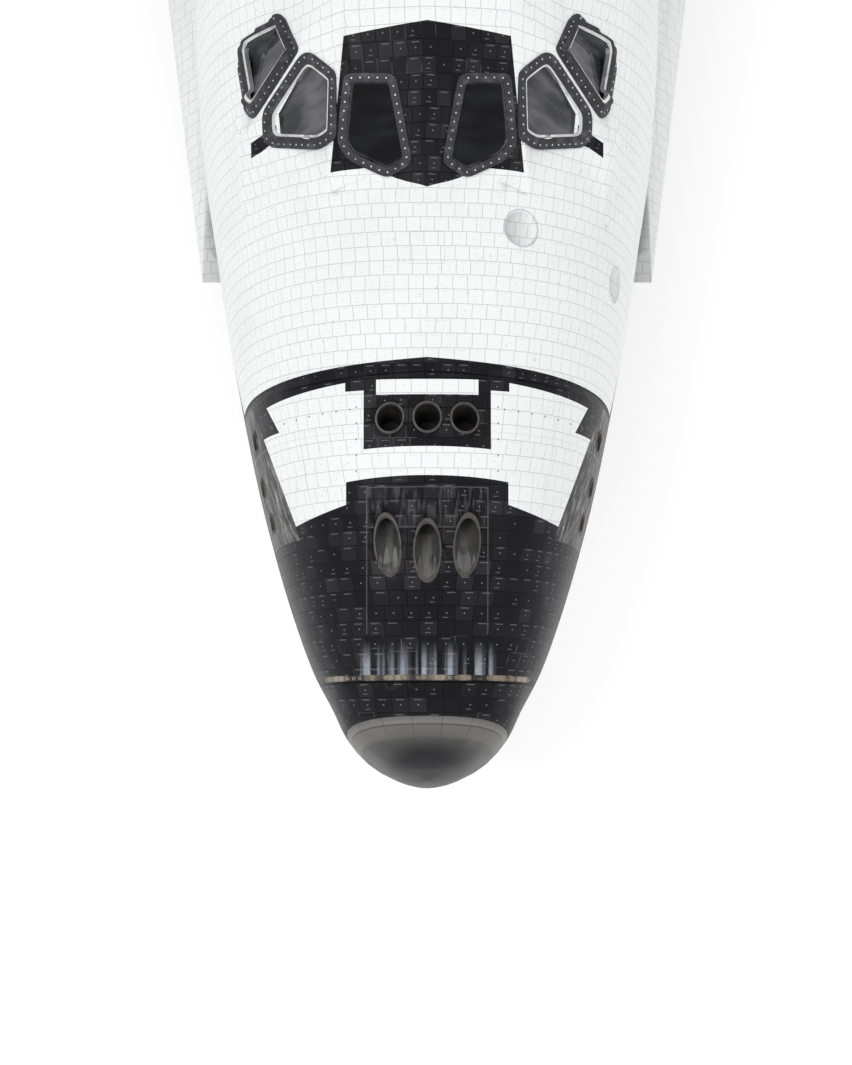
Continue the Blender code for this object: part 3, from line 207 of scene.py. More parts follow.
def skin(name, layout):
    # tiled and quilted outer surface; layout says where it is black
    g = Graph(name, specular=0.06)
    x, y, z = g.craftPlace()
    side = abs(x)
    where = g.point(x, y, z)
    if layout == "nose":
        lean = 1.0 - y.fade(6.6, 12.0)
        row = y + z * lean * 0.33
        angle = g.node("ShaderNodeMath", {"operation": "ARCTAN2"}, {0: x, 1: z - 1.35})
        grid = tiles(g, angle, row, 0.15, 0.152, lambda place: 0.42 + place * 0.47)
        black = noseBlack(g, side, y, z, row)
    elif layout == "wing":
        row = y
        grid = tiles(g, x, y, 0.16, 0.16)
        black = z < wingSplit(g, side)
    else:
        row = y
        grid = tiles(g, z + side, y, 0.16, 0.16)
        black = z < 0.96
    dot, dash = tileMarks(g, grid)
    large = g.noise(where, 0.9, 5.0)
    fine = g.noise(g.point(x * 9.0, y * 2.0, z * 9.0), 3.0, 4.0)
    streak = g.noise(g.point(x * 1.5, y * 26.0, z * 3.0), 1.0, 3.0)
    look = skinLook
    whiteTone = g.mix((large.fade(0.42, 0.75)) * 0.30 + grid["tone"] * 0.06, look["white"], look["whiteAged"])
    scuff = (fine > 0.66) & (streak > 0.56)
    whiteTone = g.mix(scuff * 0.50, whiteTone, look["whiteSeam"])
    faint = (1.0 - grid["gap"].fade(0.0010, 0.0026)) * (0.09 + grid["rowTone"] * 0.24)
    whiteTone = g.mix(faint, whiteTone, look["whiteSeam"])
    whiteTone = g.mix((dot | dash) * 0.40, whiteTone, look["whiteSeam"])
    blackTone = g.mix(grid["tone"] ** 3.0 * 0.55 + large.fade(0.5, 0.8) * 0.30, look["black"], look["blackAged"])
    line = 1.0 - grid["gap"].fade(0.0012, 0.0035)
    worn = g.noise(where, 2.6, 3.0).fade(0.50, 0.60)
    lightLine = line * (grid["rowTone"] > 0.66) * worn * (0.25 + fine)
    blackTone = g.mix(line, blackTone, look["blackSeamDark"])
    blackTone = g.mix(lightLine, blackTone, look["blackSeamLight"])
    blackTone = g.mix((dot | dash) * 0.50, blackTone, (0.32, 0.32, 0.34))
    colour = g.mix(black, whiteTone, blackTone)
    if layout == "nose":
        colour = noseMarks(g, colour, side, x, y, z, row, fine)
    if layout == "wing":
        colour = wingEdge(g, colour, side, y, large)
    height = grid["gap"].fade(0.0, 0.004) + fine * 0.12 + streak * 0.10
    return g.finished(colour, g.mix(black, (0.62,) * 3, (0.36,) * 3), height, 0.004)


nosePaint = {
    "topRow": 4.77, "bow": 0.085, "strip": (0.49, 4.39, 4.545), "brow": (0.944, 5.28, 6.27), "chin": 5.275,
    "tab": (1.50, 1.78, 5.87, 0.06), "jointRows": (4.626, 1.522), "boltStrip": (1.536, 1.592, 1.02),
    "boltPitch": 0.062, "paintedSheen": (0.68, 1.95), "jetPanel": (0.58, 3.06, 3.46), "flankRows": (3.0, 4.55),
}


def noseBlack(g, side, y, z, row):
    # where the nose is black: by row from the tip, and by distance from the middle
    paint = nosePaint
    top = paint["topRow"] - side * paint["bow"]
    front = row < top
    lower = (side < 0.78) * (3.577 - side * side * 0.085) + (side > 0.78) * (3.30 - (side - 0.78) * 0.30)
    upper = (side < 0.61) * (3.867 - side * side * 0.06) + ((side > 0.61) & (side < 0.79)) * 4.44
    upper = upper + (side > 0.79) * (4.53 - (side - 0.79) * 0.108)
    notch = row > 4.14
    edge = notch * (1.48 + (row - 4.155) * 0.491) + (1.0 - notch) * (1.296 + (row - 3.145) * 0.368)
    panel = (row > lower) & (row < upper) & (side < edge)
    half, low, high = paint["strip"]
    strip = (side < half) & (row > low) & (row < high)
    nose = front & (1.0 - (panel | strip))
    half, low, high = paint["brow"]
    brow = (side < (half - (y - low) * 0.147)) & (y < (high - side * side * 0.03)) & (z > 4.0)
    chin = paint["chin"] - (1.0 - (side / 0.61).least(1.0)) * 0.20
    belly = z < (0.95 + 0.8 * 2.718 ** ((4.0 - y) * 0.6))  # drops towards the wings
    inner, outer, middle, half = paint["tab"]
    tab = (side > inner) & (side < outer) & (abs(y - middle) < half) & (z > 3.6)
    return nose | (brow & (y > chin)) | tab | (belly & (row > 4.0))


def noseMarks(g, colour, side, x, y, z, row, fine):
    # joint lines, the bolt strip, painted sheen streaks above it, the scorched patches beside the side thrusters,
    # and painted shade in the star tracker recesses
    look, paint = skinLook, nosePaint
    upperJoint, lowerJoint = paint["jointRows"]
    joint = (abs(row - (upperJoint - side * 0.06)) < 0.009) | (abs(row - lowerJoint) < 0.010)
    colour = g.mix(joint, colour, look["blackSeamDark"])
    low, high, half = paint["boltStrip"]
    strip = (row > low) & (row < high) & (side < half)
    patch = g.noise(g.point(x, 9.0), 5.0, 2.0)
    tan = strip * (0.10 + patch.fade(0.42, 0.60) * 0.85) * (0.5 + fine * 0.5)
    colour = g.mix(tan, colour, look["tan"])
    step = side / paint["boltPitch"]
    bolt = step.offCentre() * paint["boltPitch"]
    rise = row - 1.563
    away = bolt * bolt + rise * rise
    ring = strip & (away < 0.00024) & (away > 0.00012) & (g.chance(step.floor(), x > 0.0) > 0.35)
    colour = g.mix(ring * 0.8, colour, (0.48, 0.45, 0.40))
    # painted sheen: soft bluish-white bands of reflected light on the glossy black tiles just above the bolt strip
    sheenBands = g.noise(g.point(x, 4.0), 11.0, 1.0)
    half, end = paint["paintedSheen"]
    paintedSheen = (side < half) * (row > high) * sheenBands.fade(0.44, 0.62)
    paintedSheen = paintedSheen * (1.0 - row.fade(1.60, end)) * (0.35 + fine * 0.5)
    colour = g.mix(paintedSheen, colour, (0.46, 0.50, 0.56))
    half, low, high = paint["jetPanel"]
    panel = (side < half) & (row > low) & (row < high)
    rays = g.noise(g.point(x * 3.2, row * 0.5, 2.0), 9.0, 3.0)
    colour = g.mix(panel * rays.fade(0.46, 0.66) * 0.55, colour, (0.085, 0.083, 0.085))
    lip = (abs(side - half) < 0.006) & (row > 2.0) & (row < high)
    lip = lip | ((side < half) & ((abs(row - high) < 0.006) | (abs(row - low) < 0.005)))
    colour = g.mix(lip * 0.35, colour, look["blackSeamLight"])
    edge = 1.30 + (row - 3.145) * 0.368
    low, high = paint["flankRows"]
    flank = (side > edge) & (row > low) & (row < high) & (z > 1.3)
    swirl = g.noise(g.point(x * 1.2, y * 1.6, z * 8.0), 2.0, 6.0, 0.7)
    colour = g.mix(flank * 0.85, colour, look["smearDark"])
    colour = g.mix(flank * swirl.fade(0.45, 0.66), colour, look["smear"])
    colour = g.mix(flank * swirl.fade(0.62, 0.74), colour, (0.55, 0.54, 0.53))
    rows = abs(row - 4.02) < 0.006
    inner = abs(side - 1.18 - (row - 3.6) * 0.16) < 0.006
    trace = (rows | inner) & (side > 0.66) & (row > 3.4) & (row < 4.45)
    colour = g.mix(trace * 0.22, colour, look["whiteSeam"])
    bolts = (side * 7.4).offCentre() * 0.135
    seamRow = row - 4.30 + side * 0.06
    heads = ((bolts * bolts + seamRow * seamRow) < 0.00009) & (side > 0.66) & (side < 1.9)
    columns = (row * 6.2).offCentre() * 0.161
    seamSide = side - 0.68
    heads = heads | (((columns * columns + seamSide * seamSide) < 0.00009) & (row > 3.62) & (row < 4.40))
    colour = g.mix(heads * 0.8, colour, (0.16, 0.16, 0.17))
    for place in trackers["places"]:
        away = g.node("ShaderNodeVectorMath", {"operation": "DISTANCE"}, {0: g.point(x, y, z), 1: place}, 1)
        colour = g.mix((abs(away - trackers["radius"]) < 0.008) * 0.45, colour, (0.30, 0.30, 0.31))
        # painted shade: a grey crescent on the side of each star tracker recess towards the middle, where its wall
        # shades it
        paintedShade = (1.0 - away.fade(0.165, 0.175)) * side.ramp(place[0] + 0.12, place[0] - 0.10, 1.0)
        colour = g.mix(paintedShade * 0.45, colour, (0.26, 0.26, 0.27))
    cover = (side < 0.17) & (y > 4.34) & (y < 4.66)
    inside = (side < 0.162) & (y > 4.348) & (y < 4.652)
    return g.mix((cover & (1.0 - inside)) * 0.45, colour, look["whiteSeam"])


def wingSplit(g, side):
    # height of the wing's edge line, under which it is black
    return 0.56 + (side - 2.66).fade(0.0, 9.2) * 0.52


def wingEdge(g, colour, side, y, cloud):
    # grey moulded panels round the leading edge, with a joint between each two
    front = 6.45 + side.ramp(2.66, 3.60, 6.15) + side.ramp(3.60, 4.83, 7.47) + side.ramp(4.83, 5.60, 1.08)
    front = front + side.ramp(5.60, 11.90, 6.25)
    edge = ((y - front) < 0.34) & (side > 3.75)
    colour = g.mix(edge, colour, g.mix(cloud.fade(0.4, 0.7), skinLook["edgeGrey"], (0.30, 0.29, 0.28)))
    step = side / 0.37
    joint = edge & (abs(step.offCentre()) < 0.018)
    return g.mix(joint, colour, (0.02, 0.02, 0.02))


def carbonShell():
    g = Graph("carbonShell", specular=0.2)
    x, y, z = g.craftPlace()
    cloud = g.noise(g.point(x, y, z), 2.6, 5.0)
    fine = g.noise(g.point(x, y, z), 40.0, 3.0)
    tip = g.node("ShaderNodeVectorMath", {"operation": "LENGTH"},
                 {0: g.point(x * 0.80, (y - 0.04) * 1.5, (z - 1.86) * 0.75)}, 1)
    dark = (1.0 - tip.fade(0.16, 0.58)) * (0.84 + cloud * 0.3)
    grey = g.mix(cloud.fade(0.35, 0.7), (0.075, 0.075, 0.075), (0.125, 0.122, 0.118))
    rim = y + z * 0.067
    grey = g.mix(rim.fade(0.36, 0.40) * 0.6, grey, (0.16, 0.157, 0.152))
    grey = g.mix(rim.fade(0.490, 0.494) * 0.7, grey, (0.19, 0.187, 0.181))
    grey = g.mix((abs(rim - 0.490) < 0.006) * 0.6, grey, (0.03, 0.03, 0.03))
    angle = g.node("ShaderNodeMath", {"operation": "ARCTAN2"}, {0: x, 1: z - 1.5}) / 0.34
    slit = (abs(angle.offCentre()) < 0.008) & (rim > 0.40)
    grey = g.mix(slit * 0.8, grey, (0.04, 0.04, 0.04))
    return g.finished(g.mix(dark, grey, (0.012, 0.012, 0.014)), 0.34 + cloud * 0.22, fine, 0.001)


def quilt(name, tone, aged, pitch=0.30):
    # stitched felt blankets: sewn squares that puff between their seams
    g = Graph(name)
    x, y, z = g.craftPlace()
    grid = tiles(g, z + abs(x), y, pitch * 2.0, pitch)
    where = g.point(x, y, z)
    cloud = g.noise(where, 0.7, 5.0)
    weave = g.noise(where, 90.0, 2.0)
    dirt = g.noise(g.point(x * 4.0, y * 0.8, z * 1.2), 1.6, 5.0)
    colour = g.mix(cloud.fade(0.4, 0.75) * 0.5 + grid["tone"] * 0.12, tone, aged)
    colour = g.mix(dirt.fade(0.58, 0.8) * 0.35, colour, (0.45, 0.44, 0.42))
    line = 1.0 - grid["gap"].fade(0.002, 0.008)
    colour = g.mix(line * 0.45, colour, (0.36, 0.36, 0.36))
    return g.finished(colour, 0.78 + weave * 0.12, grid["gap"].fade(0.0, 0.07) + weave * 0.05, 0.02)


def bellMetal(name):
    g = Graph(name, metallic=0.9)
    spot = g.spot()
    x, y, z = (g.node("ShaderNodeSeparateXYZ", inputs={0: spot}, output=i) for i in range(3))
    stain = g.noise(spot, 1.8, 5.0)
    fine = g.noise(g.point(x * 3.0, y * 0.4, z * 3.0), 26.0, 2.0)
    colour = g.mix(stain.fade(0.35, 0.7), (0.34, 0.31, 0.29), (0.16, 0.14, 0.135))
    colour = g.mix(fine.fade(0.5, 0.7) * 0.5, colour, (0.50, 0.46, 0.42))
    return g.finished(colour, 0.28 + stain * 0.25, fine, 0.003)


def metal(name, tone, worn, roughness=0.4, metallic=0.2, scale=6.0):
    # painted or bare metal with grime and rubbed spots
    g = Graph(name, metallic=metallic)
    spot = g.spot()
    grime = g.noise(spot, scale, 6.0)
    grain = g.noise(spot, scale * 14.0, 2.0)
    return g.finished(g.mix(grime.fade(0.48, 0.72), tone, worn), roughness + grime * 0.22, grain, 0.0008)


def tyreRubber():
    g = Graph("tyreRubber")
    spot = g.spot()
    dust = g.noise(spot, 7.0, 5.0)
    grain = g.noise(spot, 160.0, 2.0)
    colour = g.mix(dust.fade(0.45, 0.8), (0.018, 0.018, 0.019), (0.085, 0.082, 0.078))
    return g.finished(colour, 0.72 + dust * 0.2, grain, 0.0008)


# cockpit glass; in the pale copy the light tone and film are painted reflection
def cockpitGlass(name, tone, filmAndReflection, gloss):
    g = Graph(name, roughness=0.04, specular=gloss)
    x, y, z = g.craftPlace()
    haze = g.noise(g.point(x * 0.6, y * 2.4, z * 1.1), 2.1, 2.0)
    g.put("Base Color", g.mix(haze.fade(0.36, 0.70), tone, filmAndReflection))
    g.put("Alpha", 0.66 + haze * 0.2)
    return g.material


def seatCloth():
    g = Graph("seatCloth")
    x, y, z = g.craftPlace()
    weave = (x * 900.0).alone("SINE") * (z * 900.0).alone("SINE")
    fade = g.noise(g.point(x, y, z), 5.0, 4.0)
    return g.finished(g.mix(fade, (0.10, 0.11, 0.13), (0.19, 0.20, 0.22)), 0.85 + fade * 0.1, weave, 0.001)


def cabinPanel():
    # dark instrument panels: a grid of screens, knobs and small lamps
    g = Graph("cabinPanel")
    x, y, z = g.craftPlace()
    grid = tiles(g, x, z + y, 0.12, 0.10)
    screen = (grid["gap"] > 0.012) & (grid["tone"] > 0.45)
    dot, dash = tileMarks(g, grid)
    colour = g.mix(screen, (0.16, 0.17, 0.18), (0.02, 0.025, 0.03))
    colour = g.mix((dot | dash) * 0.8, colour, (0.6, 0.6, 0.55))
    return g.finished(colour, 0.65 - screen * 0.45, grid["gap"].fade(0.004, 0.012), 0.004)


def radiatorFace():
    g = Graph("radiatorFace", metallic=0.75)
    x, y, z = g.craftPlace()
    tube = ((z + abs(x)) * 42.0).alone("SINE")
    cloud = g.noise(g.point(x, y, z), 0.8, 4.0)
    return g.finished(g.mix(cloud, (0.62, 0.63, 0.66), (0.80, 0.80, 0.80)), 0.16 + cloud * 0.2, tube, 0.004)


finish = {
    "noseSkin": skin("noseSkin", "nose"),
    "bodySkin": skin("bodySkin", "body"),
    "wingSkin": skin("wingSkin", "wing"),
    "carbon": carbonShell(),
    "doorQuilt": quilt("doorQuilt", (0.82, 0.82, 0.81), (0.68, 0.67, 0.65)),
    "podQuilt": quilt("podQuilt", (0.80, 0.80, 0.79), (0.62, 0.60, 0.57), 0.22),
    "shieldQuilt": quilt("shieldQuilt", (0.035, 0.035, 0.038), (0.11, 0.10, 0.10), 0.20),
    "bayLiner": quilt("bayLiner", (0.74, 0.74, 0.72), (0.62, 0.61, 0.58), 0.45),
    "bell": bellMetal("bellTubes"),
    "frameMetal": metal("windowFrame", (0.017, 0.017, 0.020), (0.065, 0.065, 0.070), 0.45, 0.1, 11.0),
    "bolt": metal("boltHeads", (0.55, 0.55, 0.56), (0.25, 0.25, 0.26), 0.35, 0.6, 20.0),
    "reveal": metal("windowReveal", (0.72, 0.72, 0.72), (0.40, 0.40, 0.41), 0.18, 0.85),
    "rim": metal("nozzleRim", (0.075, 0.064, 0.058), (0.040, 0.034, 0.031), 0.42, 0.4, 12.0),
    # painted shade: a near-black copy of the nozzle's inside for the deep up and side cups; the forward cups get
    # the lighter scorched inside
    "throat": metal("nozzleThroatShade", (0.010, 0.009, 0.009), (0.03, 0.028, 0.026), 0.5, 0.3, 5.0),
    "scorched": metal("nozzleScorched", (0.105, 0.104, 0.098), (0.04, 0.042, 0.038), 0.4, 0.5, 5.0),
    "gearPaint": metal("gearPaint", (0.72, 0.73, 0.72), (0.50, 0.49, 0.46), 0.35, 0.1),
    "chrome": metal("gearPiston", (0.80, 0.80, 0.80), (0.60, 0.60, 0.60), 0.1, 1.0),
    "wheel": metal("wheelMetal", (0.62, 0.63, 0.65), (0.38, 0.37, 0.36), 0.28, 0.85),
    "tyre": tyreRubber(),
    "glass": cockpitGlass("cockpitGlass", (0.004, 0.004, 0.005), (0.016, 0.017, 0.020), 0.22),
    # painted reflection: a pale copy of the same glass for the middle and side panes
    "glassPaintedReflection": cockpitGlass("cockpitGlassPaintedReflection", (0.040, 0.041, 0.045), (0.15, 0.15, 0.16), 0.5),
    "seat": seatCloth(),
    "cabinWall": metal("cabinWall", (0.060, 0.064, 0.068), (0.11, 0.11, 0.11), 0.6, 0.0, 3.0),
    "strap": metal("harnessStrap", (0.20, 0.21, 0.20), (0.12, 0.12, 0.12), 0.8, 0.0, 30.0),
    "panel": cabinPanel(),
    "radiator": radiatorFace(),
}
print("finishes made:", len(finish))


def makePiece(name, bm, materials, body, angle=32.0, inCraft=True, closed=True):
    # a bmesh, usually in the craft's axes, becomes a piece that rides on a body
    if closed:
        bmesh.ops.remove_doubles(bm, verts=bm.verts[:], dist=0.00002)
        bmesh.ops.recalc_face_normals(bm, faces=bm.faces[:])
    if inCraft:
        bmesh.ops.transform(bm, matrix=craftToWorld, verts=bm.verts[:])
    mesh = bpy.data.meshes.new(name)
    bm.to_mesh(mesh)
    bm.free()
    for material in materials if isinstance(materials, list) else [materials]:
        mesh.materials.append(material)
    mesh.shade_smooth()
    mesh.set_sharp_from_angle(angle=math.radians(angle))
    piece = bpy.data.objects.new(name, mesh)
    bpy.context.scene.collection.objects.link(piece)
    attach(piece, body)
    return piece


def dressNode(node, materials, angle=32.0, refine=None, pick=None):
    # a smooth copy of a solid takes its place; pick gives each face its material's number
    bm = bmesh.new()
    bm.from_mesh(frame["nodes"][node].data)
    bmesh.ops.remove_doubles(bm, verts=bm.verts[:], dist=0.00005)
    if refine:
        refine(bm)
    if pick:
        turn = worldToCraft.to_3x3()
        bm.normal_update()
        for face in bm.faces:
            face.material_index = pick(worldToCraft @ face.calc_center_median(), turn @ face.normal)
    piece = makePiece(node + "_finished", bm, materials, bodyOfNode[node], angle, inCraft=False, closed=False)
    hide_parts(node)
    return piece


def craftTree(mesh):
    # for rays against a mesh, in the craft's axes
    return BVHTree.FromPolygons([worldToCraft @ v.co for v in mesh.vertices],
                                [tuple(p.vertices) for p in mesh.polygons])


def addCopies(bm, make, places):
    # the same small shape at several matrices
    for place in places:
        before = set(bm.verts)
        make(bm)
        bmesh.ops.transform(bm, matrix=place, verts=[v for v in bm.verts if v not in before])


# body shape, as in the solids: tables along y
shape = {
    "half": ((0.0, 0.0), (0.03, 0.223), (0.1, 0.408), (0.25, 0.637), (0.5, 0.835), (0.8, 0.972), (1.2, 1.169),
             (1.8, 1.382), (2.5, 1.594), (3.3, 1.805), (4.2, 2.007), (5.2, 2.209), (6.2, 2.385), (7.4, 2.57),
             (8.79, 2.65), (27.2, 2.65), (29.5, 2.95), (32.8, 3.30)),
    "crown": ((3.0, 3.78), (4.0, 4.12), (5.0, 4.40), (6.0, 4.75), (7.0, 5.20), (8.0, 5.70), (8.79, 5.92),
              (27.2, 5.92), (32.8, 5.92)),
    "middle": ((0.0, 1.615), (0.5, 1.64), (1.0, 1.60), (2.0, 1.42), (3.5, 1.25), (5.0, 1.20), (32.8, 1.20)),
    "upper": ((0.0, 2.5), (5.0, 2.5), (8.79, 2.75), (27.2, 2.75), (32.8, 3.6)),
    "lower": ((0.0, 2.2), (3.0, 2.6), (8.79, 3.8), (27.2, 3.8), (32.8, 5.0)),
}


def tableValue(table, place):
    # eased between entries, with no overshoot
    if place <= table[0][0]:
        return table[0][1]
    if place >= table[-1][0]:
        return table[-1][1]
    slopes = [(b[1] - a[1]) / (b[0] - a[0]) for a, b in zip(table, table[1:])]
    turns = [slopes[0]]
    for before, after in zip(slopes, slopes[1:]):
        turns.append(0.0 if before * after <= 0.0 else 2.0 * before * after / (before + after))
    turns.append(slopes[-1])
    i = next(i for i in range(len(slopes)) if place <= table[i + 1][0])
    (x0, y0), (x1, y1) = table[i], table[i + 1]
    width = x1 - x0
    t = (place - x0) / width
    rise = (2 * t ** 3 - 3 * t ** 2 + 1) * y0 + (3 * t ** 2 - 2 * t ** 3) * y1
    return rise + width * ((t ** 3 - 2 * t ** 2 + t) * turns[i] + (t ** 3 - t ** 2) * turns[i + 1])


def crownAt(y):
    return 1.83 + 0.983 * max(y, 0.0) ** 0.625 if y < 3.0 else tableValue(shape["crown"], y)


def bellyAt(y):
    return 0.0 if y >= 3.8 else 1.40 * (1.0 - math.sqrt(1.0 - (1.0 - y / 3.8) ** 2))


def reach(x, y, z):
    # 1 on the body's outer surface, under 1 inside it
    middle = tableValue(shape["middle"], y)
    up = z >= middle
    power = tableValue(shape["upper" if up else "lower"], y)
    height = crownAt(y) - middle if up else middle - bellyAt(y)
    half = max(tableValue(shape["half"], y), 1e-4)
    return ((abs(x) / half) ** power + (abs(z - middle) / height) ** power) ** (1.0 / power)


def skinPoint(x, y, z, lift=0.0):
    # the point moved out to the body's surface in its own section
    middle = tableValue(shape["middle"], y)
    share = reach(x, y, z)
    out = Vector((x / share, y, middle + (z - middle) / share))
    away = Vector((out.x, 0.0, out.z - middle)).normalized()
    return out + away * lift


def splitLong(bm, skinLayer, longest, near=None):
    # halve the long edges of the outer skin until its faces are small
    for _ in range(7):
        edges = [e for e in bm.edges if e.calc_length() > longest and any(f[skinLayer] for f in e.link_faces)
                 and (near is None or all(near(v.co) for v in e.verts))]
        if not edges:
            return
        bmesh.ops.subdivide_edges(bm, edges=edges, cuts=1)
        bmesh.ops.triangulate(bm, faces=[f for f in bm.faces if len(f.verts) > 3])


# nozzles of the forward thrusters: inner end, outer end, and the radii of the cup there
nozzles = {
    "segments": 36, "rim": 0.026, "lift": 0.007, "share": 0.86,
    "up": [((x, 2.92, 3.45), (x, 2.92, 4.1), 0.12, 0.165) for x in (-0.36, 0.0, 0.36)],
    "forward": [((x, 2.75, 3.235), (x, 1.15, 3.235), 0.10, 0.155) for x in (-0.38, 0.0, 0.38)],
    "side": [((s * 1.35, y, z), (s * 2.1, y, z - 0.02), 0.09, 0.13) for s in (-1.0, 1.0)
             for y, z in ((3.46, 2.22), (3.02, 2.01), (2.61, 2.03))],
}


def inCup(point, room=1.02):
    # 1 to 3 inside the cup of an upper, forward or side thruster, 0 elsewhere
    for number, place in enumerate(("up", "forward", "side")):
        for start, end, inner, outer in nozzles[place]:
            start, along = Vector(start), Vector(end) - Vector(start)
            share = (point - start).dot(along) / along.length_squared
            away = (point - start - along * share).length
            if -0.02 < share < 1.0 and away < (inner + (outer - inner) * share) * room + 0.001:
                return number + 1
    return 0


def onSkin(centre, normal):
    # a face of the body's smooth outer surface, the canopy and its flat panes left out
    if centre.y > 8.7 or inCup(centre):
        return False
    if centre.y < 0.12:
        return normal.y < -0.2
    share = reach(*centre)
    slack = 0.008 if centre.y > 4.9 and centre.z > 3.3 else 0.03
    outward = Vector((centre.x, 0.0, centre.z - tableValue(shape["middle"], centre.y))).normalized()
    return abs(share - 1.0) < slack and normal.dot(outward) > 0.25


def refineNose(bm):
    bmesh.ops.transform(bm, matrix=worldToCraft, verts=bm.verts[:])
    bm.normal_update()
    skinLayer = bm.faces.layers.int.new("skin")
    for face in bm.faces:
        face[skinLayer] = int(onSkin(face.calc_center_median(), face.normal))
    splitLong(bm, skinLayer, 0.16)
    centres = [Vector(place) for place in trackers["places"]]
    for longest, room in ((0.08, 0.40), (0.04, 0.30), (0.022, 0.26)):
        splitLong(bm, skinLayer, longest, lambda co: min((co - c).length for c in centres) < room)
    outer = [v for v in bm.verts if v.co.y > 0.02 and any(f[skinLayer] for f in v.link_faces)
             and (v.co.y < 4.9 or v.co.z < 3.3 or abs(reach(*v.co) - 1.0) < 0.008)]
    for vert in outer:
        vert.co = skinPoint(*vert.co)
    for centre, depth in zip(centres, trackers["depths"]):
        inward = (Vector((0.0, centre.y, 1.3)) - centre).normalized()
        for vert in outer:
            away = (vert.co - centre).length
            if away < trackers["radius"]:
                share = min(1.0, (trackers["radius"] - away) / 0.035)
                vert.co = vert.co + inward * depth * share
    bm.faces.layers.int.remove(skinLayer)
    bmesh.ops.transform(bm, matrix=craftToWorld, verts=bm.verts[:])


# up and side cup walls take the near-black painted shade, forward cup walls the scorched inside
def cupSide(centre, normal):
    return inCup(centre, 1.07) if reach(*centre) < 0.992 else 0


def cabinSide(centre, normal):
    # 0 outside, 1 in the cabin and the wells, 2 on the load bay's wall
    if centre.y > 8.70:
        return 2
    outward = Vector((centre.x, 0.0, centre.z - 3.0))
    inside = centre.y > 0.7 and (normal.dot(outward) < -0.05 or reach(*centre) < 0.93)
    return int(inside and centre.y > 1.9)


def baySide(centre, normal):
    # 1 on faces that look into the load bay
    inward = Vector((centre.x, 0.0, centre.z - 3.38))
    return int(normal.dot(inward) < -0.1 and inward.length < 2.6)


def bayEnd(centre, normal):
    return int(centre.y < 27.4 and normal.y < -0.9)


dressNode("nose_cap", finish["carbon"], 38.0, refineNose)
dressNode("forward_thruster_module", [finish[look] for look in ("noseSkin", "throat", "scorched", "throat")],
          38.0, refineNose, cupSide)
dressNode("crew_hatch", [finish["noseSkin"], finish["cabinWall"]], 38.0, refineNose, cabinSide)
noseBody = dressNode("forward_fuselage", [finish["noseSkin"], finish["cabinWall"], finish["bayLiner"]],
                     38.0, refineNose, cabinSide)
noseTree = craftTree(noseBody.data)
print("nose surfaces refined")

dressed = {
    "wingSkin": ("white_tile", ("wing_left", "wing_right", "elevon_inboard_left", "elevon_inboard_right",
                                "elevon_outboard_left", "elevon_outboard_right")),
    "doorQuilt": ("felt_blanket", ("vertical_tail", "rudder_panel_left", "rudder_panel_right")),
    "podQuilt": ("felt_blanket", ("manoeuvring_pod_left", "manoeuvring_pod_right")),
    "shieldQuilt": ("black_tile", ("base_heat_shield", "body_flap", "nose_gear_door_left", "nose_gear_door_right",
                                   "main_gear_door_left", "main_gear_door_right")),
    "gearPaint": ("gear_paint", ("nose_gear_leg", "nose_gear_fork", "main_gear_leg_left", "main_gear_leg_right")),
    "wheel": ("wheel_metal", ("rudder_hinge_tube",)),
    "glass": ("window_glass", tuple("window_%s_%s" % (place, side) for place in ("forward", "overhead")
                                    for side in ("left", "right"))),
    # the middle and side panes get the glass with painted reflection
    "glassPaintedReflection": ("window_glass", tuple("window_%s_%s" % (place, side) for place in ("middle", "side")
                                        for side in ("left", "right"))),
    "panel": ("cabin_panel", ("flight_deck_floor", "instrument_console")),
}
for look, (slot, nodes) in dressed.items():
    for node in nodes:
        dressNode(node, finish[look])
dressNode("mid_fuselage", [finish["bodySkin"], finish["bayLiner"]], pick=baySide)
dressNode("aft_fuselage", [finish["bodySkin"], finish["bayLiner"]], pick=bayEnd)
for word in ("left", "right"):
    dressNode("payload_bay_door_" + word, [finish["doorQuilt"], finish["radiator"]], pick=baySide)
print("solids dressed")


# cockpit window frames: outer corners in the craft's axes, port side
windows = {
    "width": 0.083, "rise": 0.020, "step": 0.034, "ease": 9, "boltStep": 0.085, "boltRadius": 0.0105,
    "reveal": {"forward": (0.955, 0.0), "middle": (0.86, 0.22), "side": (0.86, 0.18)},
    "forward": ((0.301, 5.93, 5.092), (0.803, 5.987, 5.02), (0.874, 5.489, 4.586), (0.773, 5.353, 4.497),
                (0.384, 5.175, 4.442), (0.14, 5.262, 4.573)),
    "middle": ((1.143, 6.318, 4.94), (1.226, 6.341, 4.867), (1.647, 6.105, 4.25), (1.64, 5.885, 4.103),
               (1.555, 5.775, 4.119), (1.05, 5.495, 4.465), (0.896, 5.493, 4.629), (0.871, 6.005, 5.013)),
    "side": ((1.429, 6.937, 4.748), (1.814, 7.047, 4.252), (1.881, 6.927, 4.133), (1.867, 6.307, 4.004),
             (1.748, 6.108, 4.117), (1.247, 6.392, 4.864)),
}


def grow(bm, verts, places):
    # a new ring of vertices at the given places, joined to the last ring by faces
    edges = [bm.edges.get((a, b)) for a, b in zip(verts, verts[1:] + verts[:1])]
    made = bmesh.ops.extrude_edge_only(bm, edges=edges)
    fresh = [item for item in made["geom"] if isinstance(item, bmesh.types.BMVert)]
    order = [min(fresh, key=lambda v: (v.co - old.co).length_squared) for old in verts]
    for vert, place in zip(order, places):
        vert.co = place
    return order


def startRing(bm, places):
    verts = [bm.verts.new(place) for place in places]
    for a, b in zip(verts, verts[1:] + verts[:1]):
        bm.edges.new((a, b))
    return verts


def eased(loop, times):
    # a closed line of places or heights, rounded by averaging neighbours
    for _ in range(times):
        loop = [b * 0.5 + (a + c) * 0.25 for a, b, c in zip(loop[-1:] + loop[:-1], loop, loop[1:] + loop[:1])]
    return loop


